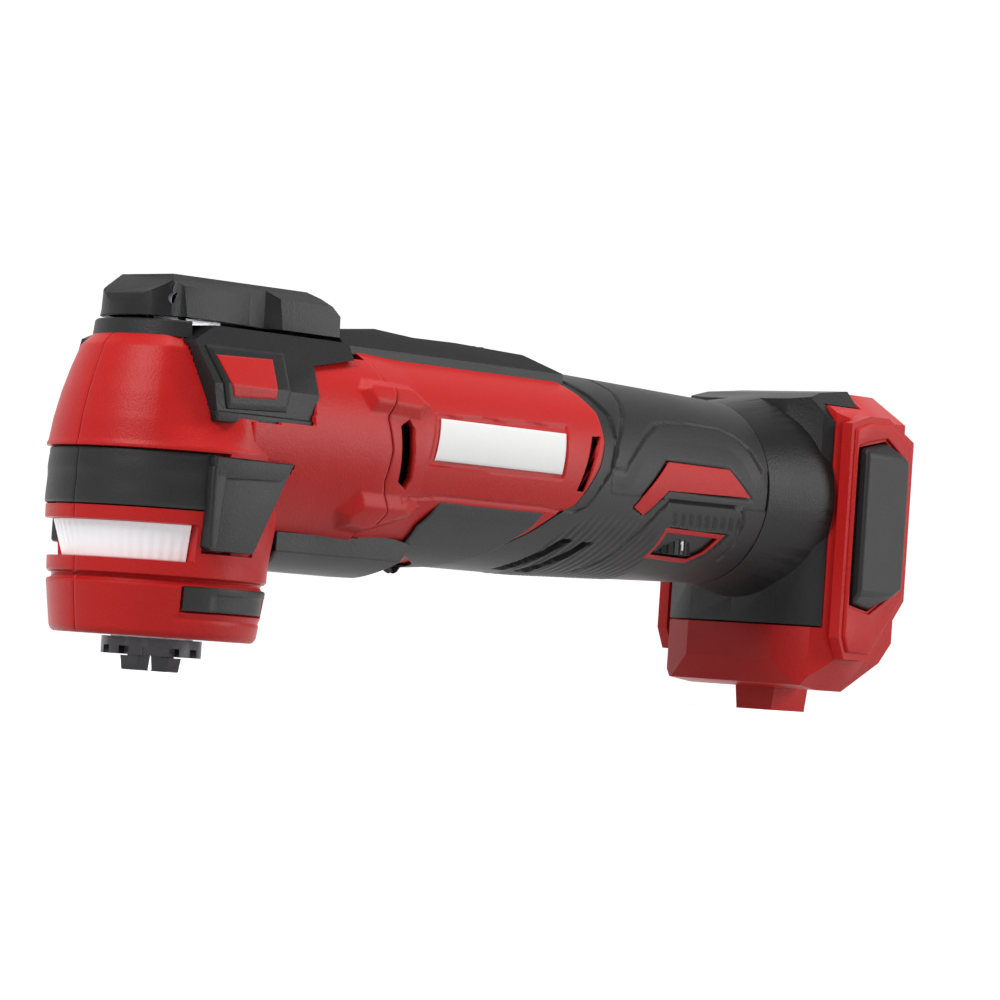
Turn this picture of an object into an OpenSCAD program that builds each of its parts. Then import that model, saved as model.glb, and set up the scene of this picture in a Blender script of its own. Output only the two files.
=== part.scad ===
// Cordless oscillating multi-tool with a tool-free blade clamp.
// X runs from the nose to the tail, Z is the spindle axis (X = 0, Y = 0) and points up,
// and Z = 0 is the plane the tool stands on, under the clamp jaws and the battery keel.

/* [Layout] */
// Height of the motor axis above the ground plane
axis_z = 61; // [60:0.5:64]
// Distance from the spindle axis to the seam between gear housing and motor housing
seam_x = 53; // [52:0.5:54]
// Distance from the spindle axis to the rear end of the grip
grip_end_x = 207; // [200:1:250]
// Depth of the foot and battery behind the foot's front face
foot_depth = 36; // [35:0.5:44]

/* [Shells] */
// Wall thickness of the hard shells
wall = 2.4; // [1.8:0.1:2.8]
// Thickness of the soft overmoulded bands and pads
soft_t = 2.1; // [1.5:0.1:2.4]
// Gap between pieces that move against each other
run_gap = 0.4; // [0.3:0.05:0.6]

/* [Head] */
// Radius of the lower collar at its top
collar_r = 28; // [27:0.5:30]
// Height of the lower collar
collar_h = 13.5; // [12:0.5:14]
// Radius of the head just above the soft band
cone_r = 30.2; // [29.5:0.1:32]
// Radius of the head at its top chamfer
cone_top_r = 23.2; // [21:0.1:25]
// Half angle that the lamp lens covers, measured from the nose
lens_angle = 66; // [50:1:75]
// Half angle that the soft band covers, measured from the nose
band_angle = 80; // [76:1:84]

/* [Barrel] */
// Radius of the motor housing
motor_r = 28.5; // [27:0.1:32]
// Radius of the grip at its rear end
grip_r = 26.2; // [24:0.1:28]
// Radius of the gear housing's neck
neck_r = 29.2; // [28.8:0.1:33]

/* [Spindle] */
// Radius of the spindle in its bearings
spindle_r = 7; // [6.5:0.1:7.2]
// Radius of the blade seat
flange_r = 12.8; // [12:0.1:13]
// Swing of the spindle to each side of its middle position
swing_deg = 1.6; // [1.2:0.1:1.8]
// Offset of the motor's eccentric
eccentric = 0.7; // [0.5:0.05:0.8]

/* [Lever] */
// Width of the quick-release lever at its rear block
lever_w = 32; // [28:0.5:34]
// Thickness of the lever
lever_h = 11; // [9:0.5:12]
// Length of the lever behind the spindle axis
lever_tail = 45; // [43:0.5:46]

/* [Battery] */
// Half width of the foot
foot_half_w = 31; // [29:0.5:34]
// How far the battery's side panels stand out beyond the foot
panel_proud = 3.6; // [2:0.1:4.5]
// How far the release buttons stand out beyond the panels
button_proud = 3.7; // [2.6:0.1:4.5]
// Diameter of a battery cell
cell_d = 18.4; // [18:0.1:18.6]
// Length of a battery cell
cell_l = 65; // [60:0.5:66]

/* [Hidden] */
$fn = 96;
eps = 0.01;
big = 400;
red = "firebrick";
black = "dimgray";

// Heights in the head, counted up from the clamp
flange_z = 3.9;
flange_h = 4.4;
collar_z = 8.6;
seam_gap = 1.5;
head_z = collar_z + collar_h + seam_gap;
lens_z0 = head_z + 4.2;
lens_z1 = lens_z0 + 9.3;
band_z0 = lens_z1 + 3.6;
band_z1 = band_z0 + 14.7;
cone_z = band_z1 + 26.2;
head_top = cone_z + 3;
cover_top = head_top + 3.4;
chamfer_r = cone_top_r - 2.9;
rim_r = collar_r;
brow_r = collar_r + 1.3;
band_r = cone_r - 2.6;
lens_r0 = collar_r - 3.7;
lens_r1 = collar_r - 0.9;
side_w = cone_r - 3.6;

// Foot and battery planes along X
foot_x = grip_end_x + 17;
tail_x = foot_x + foot_depth;
bay_x = tail_x - 28.6;
foot_z0 = 25;
foot_top = axis_z + 32.6;
batt_z0 = 6.6;
panel_z0 = 16;
panel_z1 = 88;
panel_y = foot_half_w + panel_proud;

// ---- shared shapes ----
module half(left) {
  intersection() {
    children();
    translate([-big / 2, left ? -big : 0, -big / 2]) cube([2 * big, big, 2 * big]);
  }
}
module on_axis(x, e = 0) { translate([x, e, axis_z]) rotate([0, 90, 0]) children(); }
module ring(r_out, r_in, h) {
  difference() {
    cylinder(r = r_out, h = h);
    translate([0, 0, -eps]) cylinder(r = r_in, h = h + 2 * eps);
  }
}
module xz_prism(points, y0, y1) {
  translate([0, y1, 0]) rotate([90, 0, 0]) linear_extrude(y1 - y0) polygon(points);
}
module yz_prism(points, x0, x1) {
  translate([x0, 0, 0]) rotate([90, 0, 90]) linear_extrude(x1 - x0) polygon(points);
}
module both_sides() { children(); mirror([0, 1, 0]) children(); }
module side(left) { if (left) children(); else mirror([0, 1, 0]) children(); }
// Revolved about the spindle axis over a half angle each side of the nose
module nose_sweep(points, half_angle) {
  rotate([0, 0, 180 - half_angle]) rotate_extrude(angle = 2 * half_angle) polygon(points);
}
module screw(r, l) {
  cylinder(r = r, h = l);
  translate([0, 0, l]) cylinder(r = 1.9 * r, h = 1.6);
}

// ---- head ----
side_wedge = [[0, head_z + 4], [7, head_z + 6], [20, axis_z - 5], [20, axis_z + 8], [0, axis_z + 8]];
module head_solid() {
  rotate_extrude() polygon([[0, head_z], [rim_r, head_z], [rim_r, lens_z0 - 0.5], [brow_r, lens_z1 + 0.5],
    [brow_r, band_z0 + 4], [cone_r, band_z1 - 2], [cone_r, band_z1 + 0.8], [cone_top_r, cone_z],
    [chamfer_r, head_top], [0, head_top]]);
  xz_prism(side_wedge, -side_w - 0.6, side_w + 0.6);
  intersection() {
    on_axis(0) cylinder(r = neck_r, h = seam_x);
    translate([0, -big / 2, 0]) cube([big, big, head_top]);
  }
}
module head_hollow() {
  rotate_extrude() polygon([[0, head_z - eps], [lens_r0 - wall, head_z - eps],
    [lens_r0 - wall, lens_z1 + 2], [band_r - wall, band_z0 + 3], [band_r - wall, band_z1],
    [cone_top_r - wall, cone_z - 2], [chamfer_r - wall, head_top - wall], [0, head_top - wall]]);
  on_axis(0) cylinder(r = tunnel_r + 3, h = seam_x);
  on_axis(21) cylinder(r = neck_r - wall, h = seam_x);
}
lens_profile = [[lens_r0 - 1.4, lens_z0], [lens_r0, lens_z0], [lens_r1, lens_z1], [lens_r1 - 3.2, lens_z1]];
module lens_cut() {
  nose_sweep([[lens_r0 - 1.4, lens_z0], [big / 4, lens_z0], [big / 4, lens_z1],
    [lens_r1 - 3.2, lens_z1]], lens_angle);
}
wing_out = cone_r + 0.2;
wing = [[-9, band_z1 - 0.8], [-9, head_z + 7.4], [6, head_z + 7.4], [18, band_z1 - 0.8]];
module band_seat() {
  nose_sweep([[band_r, band_z0], [big / 8, band_z0], [big / 8, band_z1], [band_r, band_z1]], band_angle);
  both_sides() xz_prism(wing, -big / 8, -side_w);
}
module band_solid() {
  nose_sweep([[band_r, band_z0], [band_r + soft_t, band_z0], [band_r + soft_t - 0.4, axis_z - 12],
    [band_r + soft_t, band_z1 - 1.5], [band_r + soft_t - 1.2, band_z1], [band_r, band_z1]], band_angle);
  both_sides() xz_prism(wing, -wing_out, -side_w);
}
cover_side = [[-3, cover_top], [-12, head_top - 1], [-8, band_z1 + 8.6], [25, band_z1 + 9],
  [28, head_top - 4], [44, head_top - 1], [44, cover_top]];
module cover_envelope() {
  difference() {
    xz_prism(cover_side, -27.4, 27.4);
    rotate_extrude() polygon([[0, band_z1 - 5], [cone_r - 1.3, band_z1 - 5], [cone_top_r - 0.8, cone_z],
      [chamfer_r - 0.6, head_top], [0, head_top]]);
    intersection() {
      on_axis(-eps) cylinder(r = neck_r - 1.3, h = big);
      translate([0, -big / 2, 0]) cube([big, big, head_top]);
    }
  }
}
module cover_outside() {
  yz_prism([[-27.4, band_z1], [27.4, band_z1], [27.4, axis_z + 12], [19, cover_top],
    [-19, cover_top], [-27.4, axis_z + 12]], -30, 60);
}
badge = [[-7, axis_z + 19.5], [12.6, axis_z + 20], [10.6, axis_z + 9.2], [-3.6, axis_z + 8.6]];
module badge_solid() {
  intersection() {
    xz_prism(badge, -big / 8, -20);
    difference() {
      cover_outside();
      translate([0, 0, -0.9]) scale([1, 0.97, 1]) cover_outside();
    }
  }
}
module release_opening() { translate([-5.4, -9.5, head_top - 4]) cube([16, 19, 8]); }

module gear_housing(left) {
  color(red) half(left) difference() {
    difference() {
      union() {
        difference() { head_solid(); head_hollow(); }
        intersection() {
          bosses(head_screws);
          on_axis(0) cylinder(r = neck_r - 1, h = seam_x);
        }
      }
      band_seat();
    }
    lens_cut();
    cover_envelope();
    release_opening();
    neck_pad_solid();
    screw_holes();
  }
}
module head_band(left) { color(black) half(left) band_solid(); }
module top_cover() {
  color(black) difference() {
    intersection() {
      cover_envelope();
      cover_outside();
    }
    both_sides() badge_solid();
    release_opening();
    screw_holes();
  }
}
module badge_inlay(left) { color(red) side(left) intersection() { badge_solid(); cover_envelope(); } }

// ---- collar ----
insert_rear = 140;
insert_front = 62;
module insert_cut() {
  both_sides() rotate([0, 0, 180 + insert_front]) rotate_extrude(angle = insert_rear - insert_front)
    polygon([[collar_r - 2.1, collar_z + 6.8], [big / 8, collar_z + 6.8],
      [big / 8, collar_z + collar_h], [collar_r - 2.1, collar_z + collar_h]]);
}
module collar_solid() {
  rotate_extrude() polygon([[14, collar_z], [collar_r - 3, collar_z], [collar_r - 1.7, collar_z + 1.4],
    [collar_r, collar_z + collar_h], [14, collar_z + collar_h]]);
}
module collar(left) {
  color(red) half(left) difference() {
    collar_solid();
    translate([0, 0, collar_z + wall]) difference() {
      cylinder(r = collar_r - 5.4, h = collar_h);
      at_collar_screws() translate([0, 0, -1]) cylinder(r = 3.4, h = collar_h + 2);
    }
    insert_cut();
    collar_screw_holes();
  }
}
module collar_insert(left) {
  color(black) half(left) intersection() { insert_cut(); collar_solid(); }
}

// ---- lamp ----
module lamp_lens() { color("white") nose_sweep(lens_profile, lens_angle - 0.3); }
module lamp_board() {
  color("darkgreen") nose_sweep([[spindle_r + 8.4, head_z + 0.2], [lens_r0 - wall - 0.1, head_z + 0.2],
    [lens_r0 - wall - 0.1, head_z + 1.4], [spindle_r + 8.4, head_z + 1.4]], lens_angle - 8);
  color("gold") for (a = [-45 : 22.5 : 45]) rotate([0, 0, 180 + a])
    translate([lens_r0 - wall - 1.6, 0, head_z + 1.4]) cylinder(r = 1.1, h = 1.6, $fn = 32);
}

// ---- barrel ----
// Seen from the side, the line where the motor housing ends and the grip begins
barrel_mid = 130;
split_line = [[seam_x - eps, 0], [84, 0], [88, axis_z - 31], [107, axis_z - 22], [127, axis_z - 10],
  [137, axis_z + 9], [136, axis_z + 17], [130, axis_z + 25], [119, axis_z + 31], [seam_x - eps, axis_z + 31]];
module barrel(g) {
  on_axis(seam_x - (g > 0 ? eps : 0)) cylinder(r = motor_r - g, h = barrel_mid - seam_x + eps);
  on_axis(barrel_mid)
    cylinder(r1 = motor_r - g, r2 = grip_r - g, h = grip_end_x - barrel_mid + (g > 0 ? eps : 0));
}
module vents() {
  both_sides() {
    xz_prism([[seam_x + 5, axis_z + 8], [seam_x + 9, axis_z + 10], [seam_x + 9, axis_z - 11],
      [seam_x + 5, axis_z - 8]], -big / 8, -20);
    xz_prism([[131, axis_z + 10], [134.5, axis_z + 10], [130, axis_z - 5], [126.5, axis_z - 5]],
      -big / 8, -20);
  }
}
belly = [[76, axis_z - 11.5], [119, axis_z - 11.5], [114, axis_z - 18], [100, axis_z - 25], [86, axis_z - 31],
  [62, axis_z - 31], [62, axis_z - 22], [68, axis_z - 20]];
module belly_pad() {
  color(black) intersection() {
    difference() {
      barrel(0);
      translate([-1, 0, 0]) barrel(soft_t - 0.6);
    }
    xz_prism(belly, -big / 8, big / 8);
  }
}
// Raised stiffening pad under the neck, across the housing seam
neck_line = [[24, axis_z - 22], [66, axis_z - 22], [73, axis_z - 23.4], [66, axis_z - 33.2],
  [30, axis_z - 33.2], [24, axis_z - 28]];
module neck_pad_solid() {
  difference() {
    intersection() {
      xz_prism(neck_line, -18, 18);
      on_axis(0) cylinder(r = motor_r + 5, h = big);
    }
    on_axis(-eps) cylinder(r = neck_r, h = seam_x + eps);
    on_axis(seam_x - eps) cylinder(r = motor_r, h = big);
    cylinder(r = brow_r + 0.3, h = big / 4);
  }
}
module neck_pad() { color(black) neck_pad_solid(); }

// Raised panel along the top that carries the switch
panel_end = 131;
panel_side = [[46.5, axis_z + 20], [46.5, axis_z + 31], [62, axis_z + 32.6], [76, axis_z + 31.6],
  [92, axis_z + 31.8], [118, axis_z + 31], [panel_end, axis_z + 27], [panel_end, axis_z + 20]];
slot_x0 = 95;
slot_x1 = 120;
slot_w = 13;
module panel_solid() {
  difference() {
    intersection() {
      xz_prism(panel_side, -15, 15);
      yz_prism([[-15, axis_z], [15, axis_z], [14.4, axis_z + 27], [9.5, axis_z + 33], [-9.5, axis_z + 33],
        [-14.4, axis_z + 27]], 0, big);
    }
    on_axis(-eps) cylinder(r = neck_r - 0.6, h = seam_x + eps);
    on_axis(seam_x - eps) cylinder(r = motor_r - 0.6, h = big);
  }
}
module switch_slot(grow) {
  translate([slot_x0 - grow, -slot_w / 2 - grow, axis_z + motor_r - 6])
    cube([slot_x1 - slot_x0 + 2 * grow, slot_w + 2 * grow, 20]);
}
liner_t = 1.2;
module switch_panel() {
  color(black) difference() {
    panel_solid();
    switch_slot(liner_t);
    cover_envelope();
  }
}
module switch_liner() {
  color(red) intersection() {
    difference() {
      switch_slot(liner_t);
      switch_slot(0);
    }
    translate([0, -big / 2, axis_z + motor_r - wall]) cube([big, big, wall + 2.9]);
  }
}
slider_l = 16;
slider_travel = slot_x1 - slot_x0 - slider_l - 2 * run_gap;
module switch_slider() {
  z0 = axis_z + motor_r - wall - run_gap;
  color(black) {
    translate([slot_x0 + run_gap, -slot_w / 2 + run_gap, z0])
      cube([slider_l, slot_w - 2 * run_gap, 5.6]);
    for (i = [0 : 3]) translate([slot_x0 + 3 + 3.2 * i, -slot_w / 2 + 1.4, z0 + 5.6 - eps])
      cube([1.4, slot_w - 2.8, 0.9]);
    translate([slot_x0 + slider_l / 2 - 2, -2, z0 - 3]) cube([4, 4, 3 + eps]);
  }
}
plate_line = [[72, axis_z + 9], [124, axis_z + 9], [120, axis_z - 7], [72, axis_z - 7]];
plate_t = 0.8;
module name_plate_solid() {
  intersection() {
    difference() {
      on_axis(seam_x) cylinder(r = motor_r + 0.4, h = 80);
      on_axis(seam_x - 1) cylinder(r = motor_r - plate_t, h = 82);
    }
    xz_prism(plate_line, -big / 8, -10);
  }
}
module name_plate(left) { color("whitesmoke") side(left) name_plate_solid(); }
module barrel_ribs(x0, x1, r_in) { on_axis(x0) ring(motor_r - wall + eps, r_in, x1 - x0); }
module motor_housing(left) {
  color(red) half(left) difference() {
    union() {
      intersection() {
        difference() { barrel(0); barrel(wall); }
        xz_prism(split_line, -big / 8, big / 8);
      }
      barrel_ribs(79, 81.4, stator_r);
      barrel_ribs(89, 91.4, stator_r);
      intersection() {
        bosses(motor_screws);
        barrel(1);
      }
    }
    vents();
    belly_pad();
    panel_solid();
    switch_slot(liner_t);
    neck_pad_solid();
    both_sides() name_plate_solid();
    screw_holes();
  }
}

// ---- grip ----
stripe = [[150, axis_z - 7.6], [164, axis_z + 6.6], [190, axis_z + 6.6], [201, axis_z - 1.6],
  [166, axis_z - 1.2], [155, axis_z - 10]];
module grip_skin(depth) {
  difference() {
    barrel(0);
    barrel(depth);
  }
}
module stripe_solid() {
  intersection() {
    grip_skin(0.8);
    xz_prism(stripe, -big / 8, -10);
  }
}
dial_x = 176.5;
dial_z = axis_z - 16.8;
window_line = [[166.2, axis_z - 12.3], [192.5, axis_z - 12.7], [188.3, axis_z - 18.6], [183.4, axis_z - 21.4],
  [164.8, axis_z - 21]];
dial_cut = [[167.6, axis_z - 13.6], [189.9, axis_z - 13.9], [187, axis_z - 18], [183, axis_z - 20.2],
  [166.4, axis_z - 19.9]];
module dial_window() {
  color(red) intersection() {
    difference() {
      grip_skin(0.9);
      xz_prism(dial_cut, -big / 8, 0);
    }
    xz_prism(window_line, -big / 8, -10);
  }
}
dial_r = 9.5;
dial_y = -12;
dial_h = 5;
module speed_dial() {
  color("dimgray") translate([dial_x, dial_y, dial_z]) difference() {
    translate([0, 0, -dial_h / 2]) cylinder(r = dial_r, h = dial_h);
    translate([0, 0, -dial_h]) cylinder(r = 2.5, h = 2 * dial_h);
    for (i = [0 : 29]) rotate([0, 0, 12 * i]) translate([dial_r, 0, -dial_h])
      cylinder(r = 0.35, h = 2 * dial_h, $fn = 16);
  }
}
module grip_slots() {
  for (dx = [0, 10.5])
    xz_prism([[131 + dx, axis_z - 17.5], [134 + dx, axis_z - 17.5], [112 + dx, axis_z - 31.5],
      [109 + dx, axis_z - 31.5]], -big / 8, -9);
}
module grip(left) {
  color(black) half(left) difference() {
    union() {
      difference() { barrel(0); barrel(wall); }
      intersection() {
        bosses(grip_screws);
        barrel(1);
      }
    }
    xz_prism(split_line, -big / 8, big / 8);
    vents();
    panel_solid();
    side(left) grip_slots();
    both_sides() stripe_solid();
    xz_prism(window_line, -big / 8, -10);
    screw_holes();
  }
}
module grip_stripe(left) { color(red) side(left) stripe_solid(); }

// ---- foot ----
module foot_plan(g) {
  linear_extrude(big) polygon([[foot_x + g, -16], [foot_x + 4 + g, -26.7], [foot_x + 11 + g, -foot_half_w],
    [tail_x, -foot_half_w], [tail_x, foot_half_w], [foot_x + 11 + g, foot_half_w], [foot_x + 4 + g, 26.7],
    [foot_x + g, 16]]);
}
module foot_shape(g) {
  intersection() {
    yz_prism([[-foot_half_w + g, foot_z0 - 2], [foot_half_w - g, foot_z0 - 2],
      [foot_half_w - g, axis_z + 20 - g / 2], [20 - g / 2, foot_top - g], [-20 + g / 2, foot_top - g],
      [-foot_half_w + g, axis_z + 20 - g / 2]], foot_x - 30, tail_x);
    foot_plan(g);
    xz_prism([[foot_x, foot_z0], [tail_x, foot_z0], [tail_x, foot_top - g], [foot_x + 22, foot_top - g],
      [foot_x + 8, foot_top - 1.6 - g], [foot_x, foot_top - 4 - g]], -big / 4, big / 4);
  }
}
module foot_neck(g) {
  on_axis(grip_end_x - (g > 0 ? eps : 0)) cylinder(r1 = grip_r - g, r2 = foot_half_w - 0.6 - g,
    h = bay_x - grip_end_x - (g > 0 ? wall : 0) + eps);
}
// Room for the battery: below and behind the foot, under its roof
roof_z = 88.8;
roof_x = tail_x - 14;
module battery_room() {
  translate([bay_x - run_gap, -big / 4, -1]) cube([big, big / 2, roof_z + 1]);
  translate([roof_x, -big / 4, 0]) cube([big, big / 2, big]);
  translate([foot_x - 1, -big / 4, -1]) cube([big, big / 2, foot_z0 + 1]);
}
// Rails on the battery that slide in grooves in the foot
rail_y = 16;
rail_w = 5.2;
rail_h = 1.7;
rail_top = axis_z + 6;
module foot(left) {
  color(black) half(left) difference() {
    union() {
      difference() {
        union() { foot_shape(0); foot_neck(0); }
        foot_inside();
      }
      intersection() {
        bosses(foot_screws);
        foot_neck(1);
      }
    }
    battery_room();
    both_sides() translate([bay_x - rail_h - 2 * run_gap, rail_y - rail_w / 2 - run_gap, foot_z0 - 1])
      cube([rail_h + 2 * run_gap, rail_w + 2 * run_gap, rail_top - foot_z0 + 1 + run_gap]);
    screw_holes();
  }
}
module foot_inside() {
  intersection() {
    foot_shape(wall);
    translate([0, -big / 2, foot_z0 + wall]) cube([bay_x - 2 * wall - run_gap, big, roof_z - foot_z0 - wall]);
  }
  foot_neck(wall);
  // Window in the bay wall for the terminal block
  translate([bay_x - 3 * wall, -terminal_w / 2, roof_z - 15]) cube([4 * wall, terminal_w, 13]);
}

// ---- gear case and bearings ----
case_r = 18.6;
lower_bearing_z = head_z + 1.6;
upper_bearing_z = axis_z + 6.5;
bearing_h = 6;
lower_bearing_r = 13.5;
upper_bearing_r = 12;
tunnel_r = 16.5;
case_z1 = max(upper_bearing_z + bearing_h + 2, axis_z + tunnel_r + 0.5);
front_bearing_x = 42;
front_bearing_r = 8;
case_end_x = front_bearing_x + bearing_h + 1;
module gear_case() {
  color("silver") difference() {
    union() {
      translate([0, 0, lower_bearing_z]) cylinder(r = case_r, h = case_z1 - lower_bearing_z);
      on_axis(0) cylinder(r = tunnel_r, h = case_end_x);
      at_collar_screws() translate([0, 0, collar_z + collar_h]) cylinder(r = 3, h = 12);
    }
    at_collar_screws() translate([0, 0, collar_z]) cylinder(r = screw_r, h = collar_h + 8);
    translate([0, 0, lower_bearing_z - eps]) cylinder(r = lower_bearing_r, h = bearing_h + eps);
    translate([0, 0, lower_bearing_z - eps]) cylinder(r = lower_bearing_r - 1.5, h = big / 8);
    translate([0, 0, upper_bearing_z]) cylinder(r = upper_bearing_r, h = bearing_h);
    translate([0, 0, lower_bearing_z + bearing_h + 2])
      cylinder(r = case_r - 3, h = upper_bearing_z - lower_bearing_z - bearing_h - 4);
    translate([0, 0, upper_bearing_z - 3]) cylinder(r = upper_bearing_r - 1.5, h = big / 8);
    on_axis(0) cylinder(r = tunnel_r - 2.4, h = front_bearing_x - 2);
    on_axis(0) cylinder(r = front_bearing_r - 1.5, h = big / 4);
    on_axis(front_bearing_x) cylinder(r = front_bearing_r, h = bearing_h);
  }
}
module spindle_bearings() {
  color("gainsboro") {
    translate([0, 0, lower_bearing_z]) ring(lower_bearing_r, spindle_r + 0.04, bearing_h);
    translate([0, 0, upper_bearing_z]) ring(upper_bearing_r, spindle_r + 0.04, bearing_h);
  }
}
shaft_r = 2.5;
rear_bearing_x = 121;
rear_bearing_r = 6.5;
module motor_bearings() {
  color("gainsboro") {
    on_axis(front_bearing_x) ring(front_bearing_r, shaft_r + 0.04, bearing_h);
    on_axis(rear_bearing_x) ring(rear_bearing_r, shaft_r + 0.04, 5);
  }
}

// ---- lever bracket: two arms that reach forward to the lever's pin ----
pin_x = -11.5;
pin_z = cover_top + 5.6;
pin_r = 1.8;
pin_l = 26;
eye_r = 2.9;
arm_y = 4.4;
arm_t = 2.6;
module lever_bracket() {
  color("silver") difference() {
    union() {
      translate([-7, -9, case_z1]) cube([17, 18, 2]);
      both_sides() translate([0, arm_y + arm_t, 0]) rotate([90, 0, 0]) linear_extrude(arm_t) {
        polygon([[1, case_z1 + 1], [9.5, case_z1 + 1], [9.5, pin_z + 0.6], [8, pin_z + 2.2],
          [pin_x, pin_z + eye_r], [pin_x, pin_z - eye_r], [-4, pin_z - eye_r], [1, cover_top - 1]]);
        translate([pin_x, pin_z]) circle(r = eye_r);
      }
    }
    translate([pin_x, big / 8, pin_z]) rotate([90, 0, 0]) cylinder(r = pin_r + 0.05, h = big / 4);
    translate([0, 0, case_z1 - 1]) cylinder(r = 5.6, h = 4);
  }
}

// ---- spindle ----
cup_r = 10.5;
cup_in_r = 7.7;
cup_z0 = flange_z + flange_h;
cup_z1 = head_z - 1;
rod_r = 3.25;
spring_z0 = axis_z - 20;
spring_z1 = axis_z + 8;
spring_r = 5.2;
spindle_top = upper_bearing_z + bearing_h;
module spindle() {
  color("silver") difference() {
    union() {
      translate([0, 0, cup_z0]) cylinder(r = cup_r, h = cup_z1 - cup_z0);
      translate([0, 0, cup_z1 - eps]) cylinder(r = spindle_r, h = spindle_top - cup_z1 + eps);
    }
    translate([0, 0, cup_z0 - eps]) cylinder(r = cup_in_r, h = cup_z1 - cup_z0 - 2);
    cylinder(r = rod_r + 0.06, h = big / 4);
    translate([0, 0, spring_z0]) cylinder(r = spring_r + 0.1, h = big / 4);
  }
}
eccentric_bearing_r = 8;
// The fork's arms straddle the eccentric's bearing and stay clear of it at both ends of the swing
fork_reach = 29.6;
fork_gap = eccentric_bearing_r + eccentric + fork_reach * sin(swing_deg) + 0.3;
module swing_fork() {
  color("slategray") difference() {
    union() {
      translate([0, 0, axis_z - 6]) cylinder(r = 10.5, h = 9);
      translate([0, -fork_gap - 2, axis_z - 4.2]) cube([fork_reach, 2 * fork_gap + 4, 7]);
    }
    translate([0, 0, axis_z - 7]) cylinder(r = spindle_r, h = 14);
    translate([11.5, -fork_gap, axis_z - 5]) cube([40, 2 * fork_gap, 10]);
  }
}
seat_r = 7.5;
tooth_count = 12;
tooth_depth = 2.1;
module blade_flange() {
  color("dimgray") difference() {
    translate([0, 0, flange_z]) cylinder(r = flange_r, h = flange_h);
    translate([0, 0, flange_z - eps]) cylinder(r = seat_r, h = flange_h + 1);
    for (i = [0 : tooth_count - 1]) rotate([0, 0, (i + 0.5) * 360 / tooth_count])
      translate([flange_r - 2.6, -1.5, flange_z - eps]) cube([4, 3, tooth_depth]);
  }
}

// ---- clamp ----
jaw_pin_y = 3.2;
jaw_pin_z = 14.5;
jaw_t = 4;
cap_z = case_z1 + 0.5;
module clamp_rod() {
  color("silver") {
    difference() {
      union() {
        translate([0, 0, jaw_pin_z + 4]) cylinder(r = rod_r, h = cap_z - jaw_pin_z - 4);
        translate([-4.6, -5.6, jaw_pin_z - 2]) cube([9.2, 11.2, 6]);
      }
      translate([-jaw_t / 2 - 0.2, -6, jaw_pin_z - 3]) cube([jaw_t + 0.4, 12, 6]);
    }
    for (y = [-jaw_pin_y, jaw_pin_y]) translate([-4.6, y, jaw_pin_z]) rotate([0, 90, 0])
      cylinder(r = 1.2, h = 9.2);
    translate([0, 0, spring_z1 + 0.1]) cylinder(r = spring_r - 0.1, h = 3);
  }
}
spring_wire = 0.7;
module clamp_spring() {
  color("silver") for (i = [0 : 6])
    translate([0, 0, spring_z0 + spring_wire + i * (spring_z1 - spring_z0 - 2 * spring_wire) / 6])
      rotate_extrude() translate([spring_r - 0.9, 0]) circle(r = spring_wire, $fn = 16);
}
module clamp_jaw(left) {
  color("dimgray") side(left) difference() {
    translate([-jaw_t / 2, 0, 0]) union() {
      yz_prism([[-jaw_pin_y - 2.4, jaw_pin_z], [-6.6, flange_z - 0.3], [-9.3, flange_z - 0.3], [-8.6, 0.2],
        [-8, 0], [-2.9, 0], [-jaw_pin_y + 2.4, jaw_pin_z]], 0, jaw_t);
      translate([0, -jaw_pin_y, jaw_pin_z]) rotate([0, 90, 0]) cylinder(r = 2.4, h = jaw_t);
    }
    translate([-jaw_t, -jaw_pin_y, jaw_pin_z]) rotate([0, 90, 0]) cylinder(r = 1.25, h = 2 * jaw_t);
  }
}

// ---- lever ----
lever_z0 = cover_top + 1.4;
lever_top = lever_z0 + lever_h;
lever_nose_r = 19;
half_w = lever_w / 2;
module lever_plan(grow) {
  intersection() {
    linear_extrude(big) union() {
      circle(r = lever_nose_r - grow);
      polygon([[-14.8 + grow, -11.9 + grow], [13, -half_w + 1.5 + grow],
        [19, -half_w + 3 + grow], [23, -half_w + grow],
        [lever_tail - 1.5 - grow, -half_w + grow], [lever_tail - grow, -half_w + 3 + grow],
        [lever_tail - grow, half_w - 3 - grow], [lever_tail - 1.5 - grow, half_w - grow], [23, half_w - grow],
        [19, half_w - 3 - grow], [13, half_w - 1.5 - grow], [-14.8 + grow, 11.9 - grow]]);
    }
    linear_extrude(big) polygon([[-30, -60], [-30, 60], [-4, 16.5 - grow], [13, half_w - 1.5 - grow],
      [19, half_w - 3 - grow], [23, half_w - grow], [60, half_w - grow], [60, -half_w + grow],
      [23, -half_w + grow], [19, -half_w + 3 + grow], [13, -half_w + 1.5 + grow], [-4, -16.5 + grow]]);
  }
}
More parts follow.
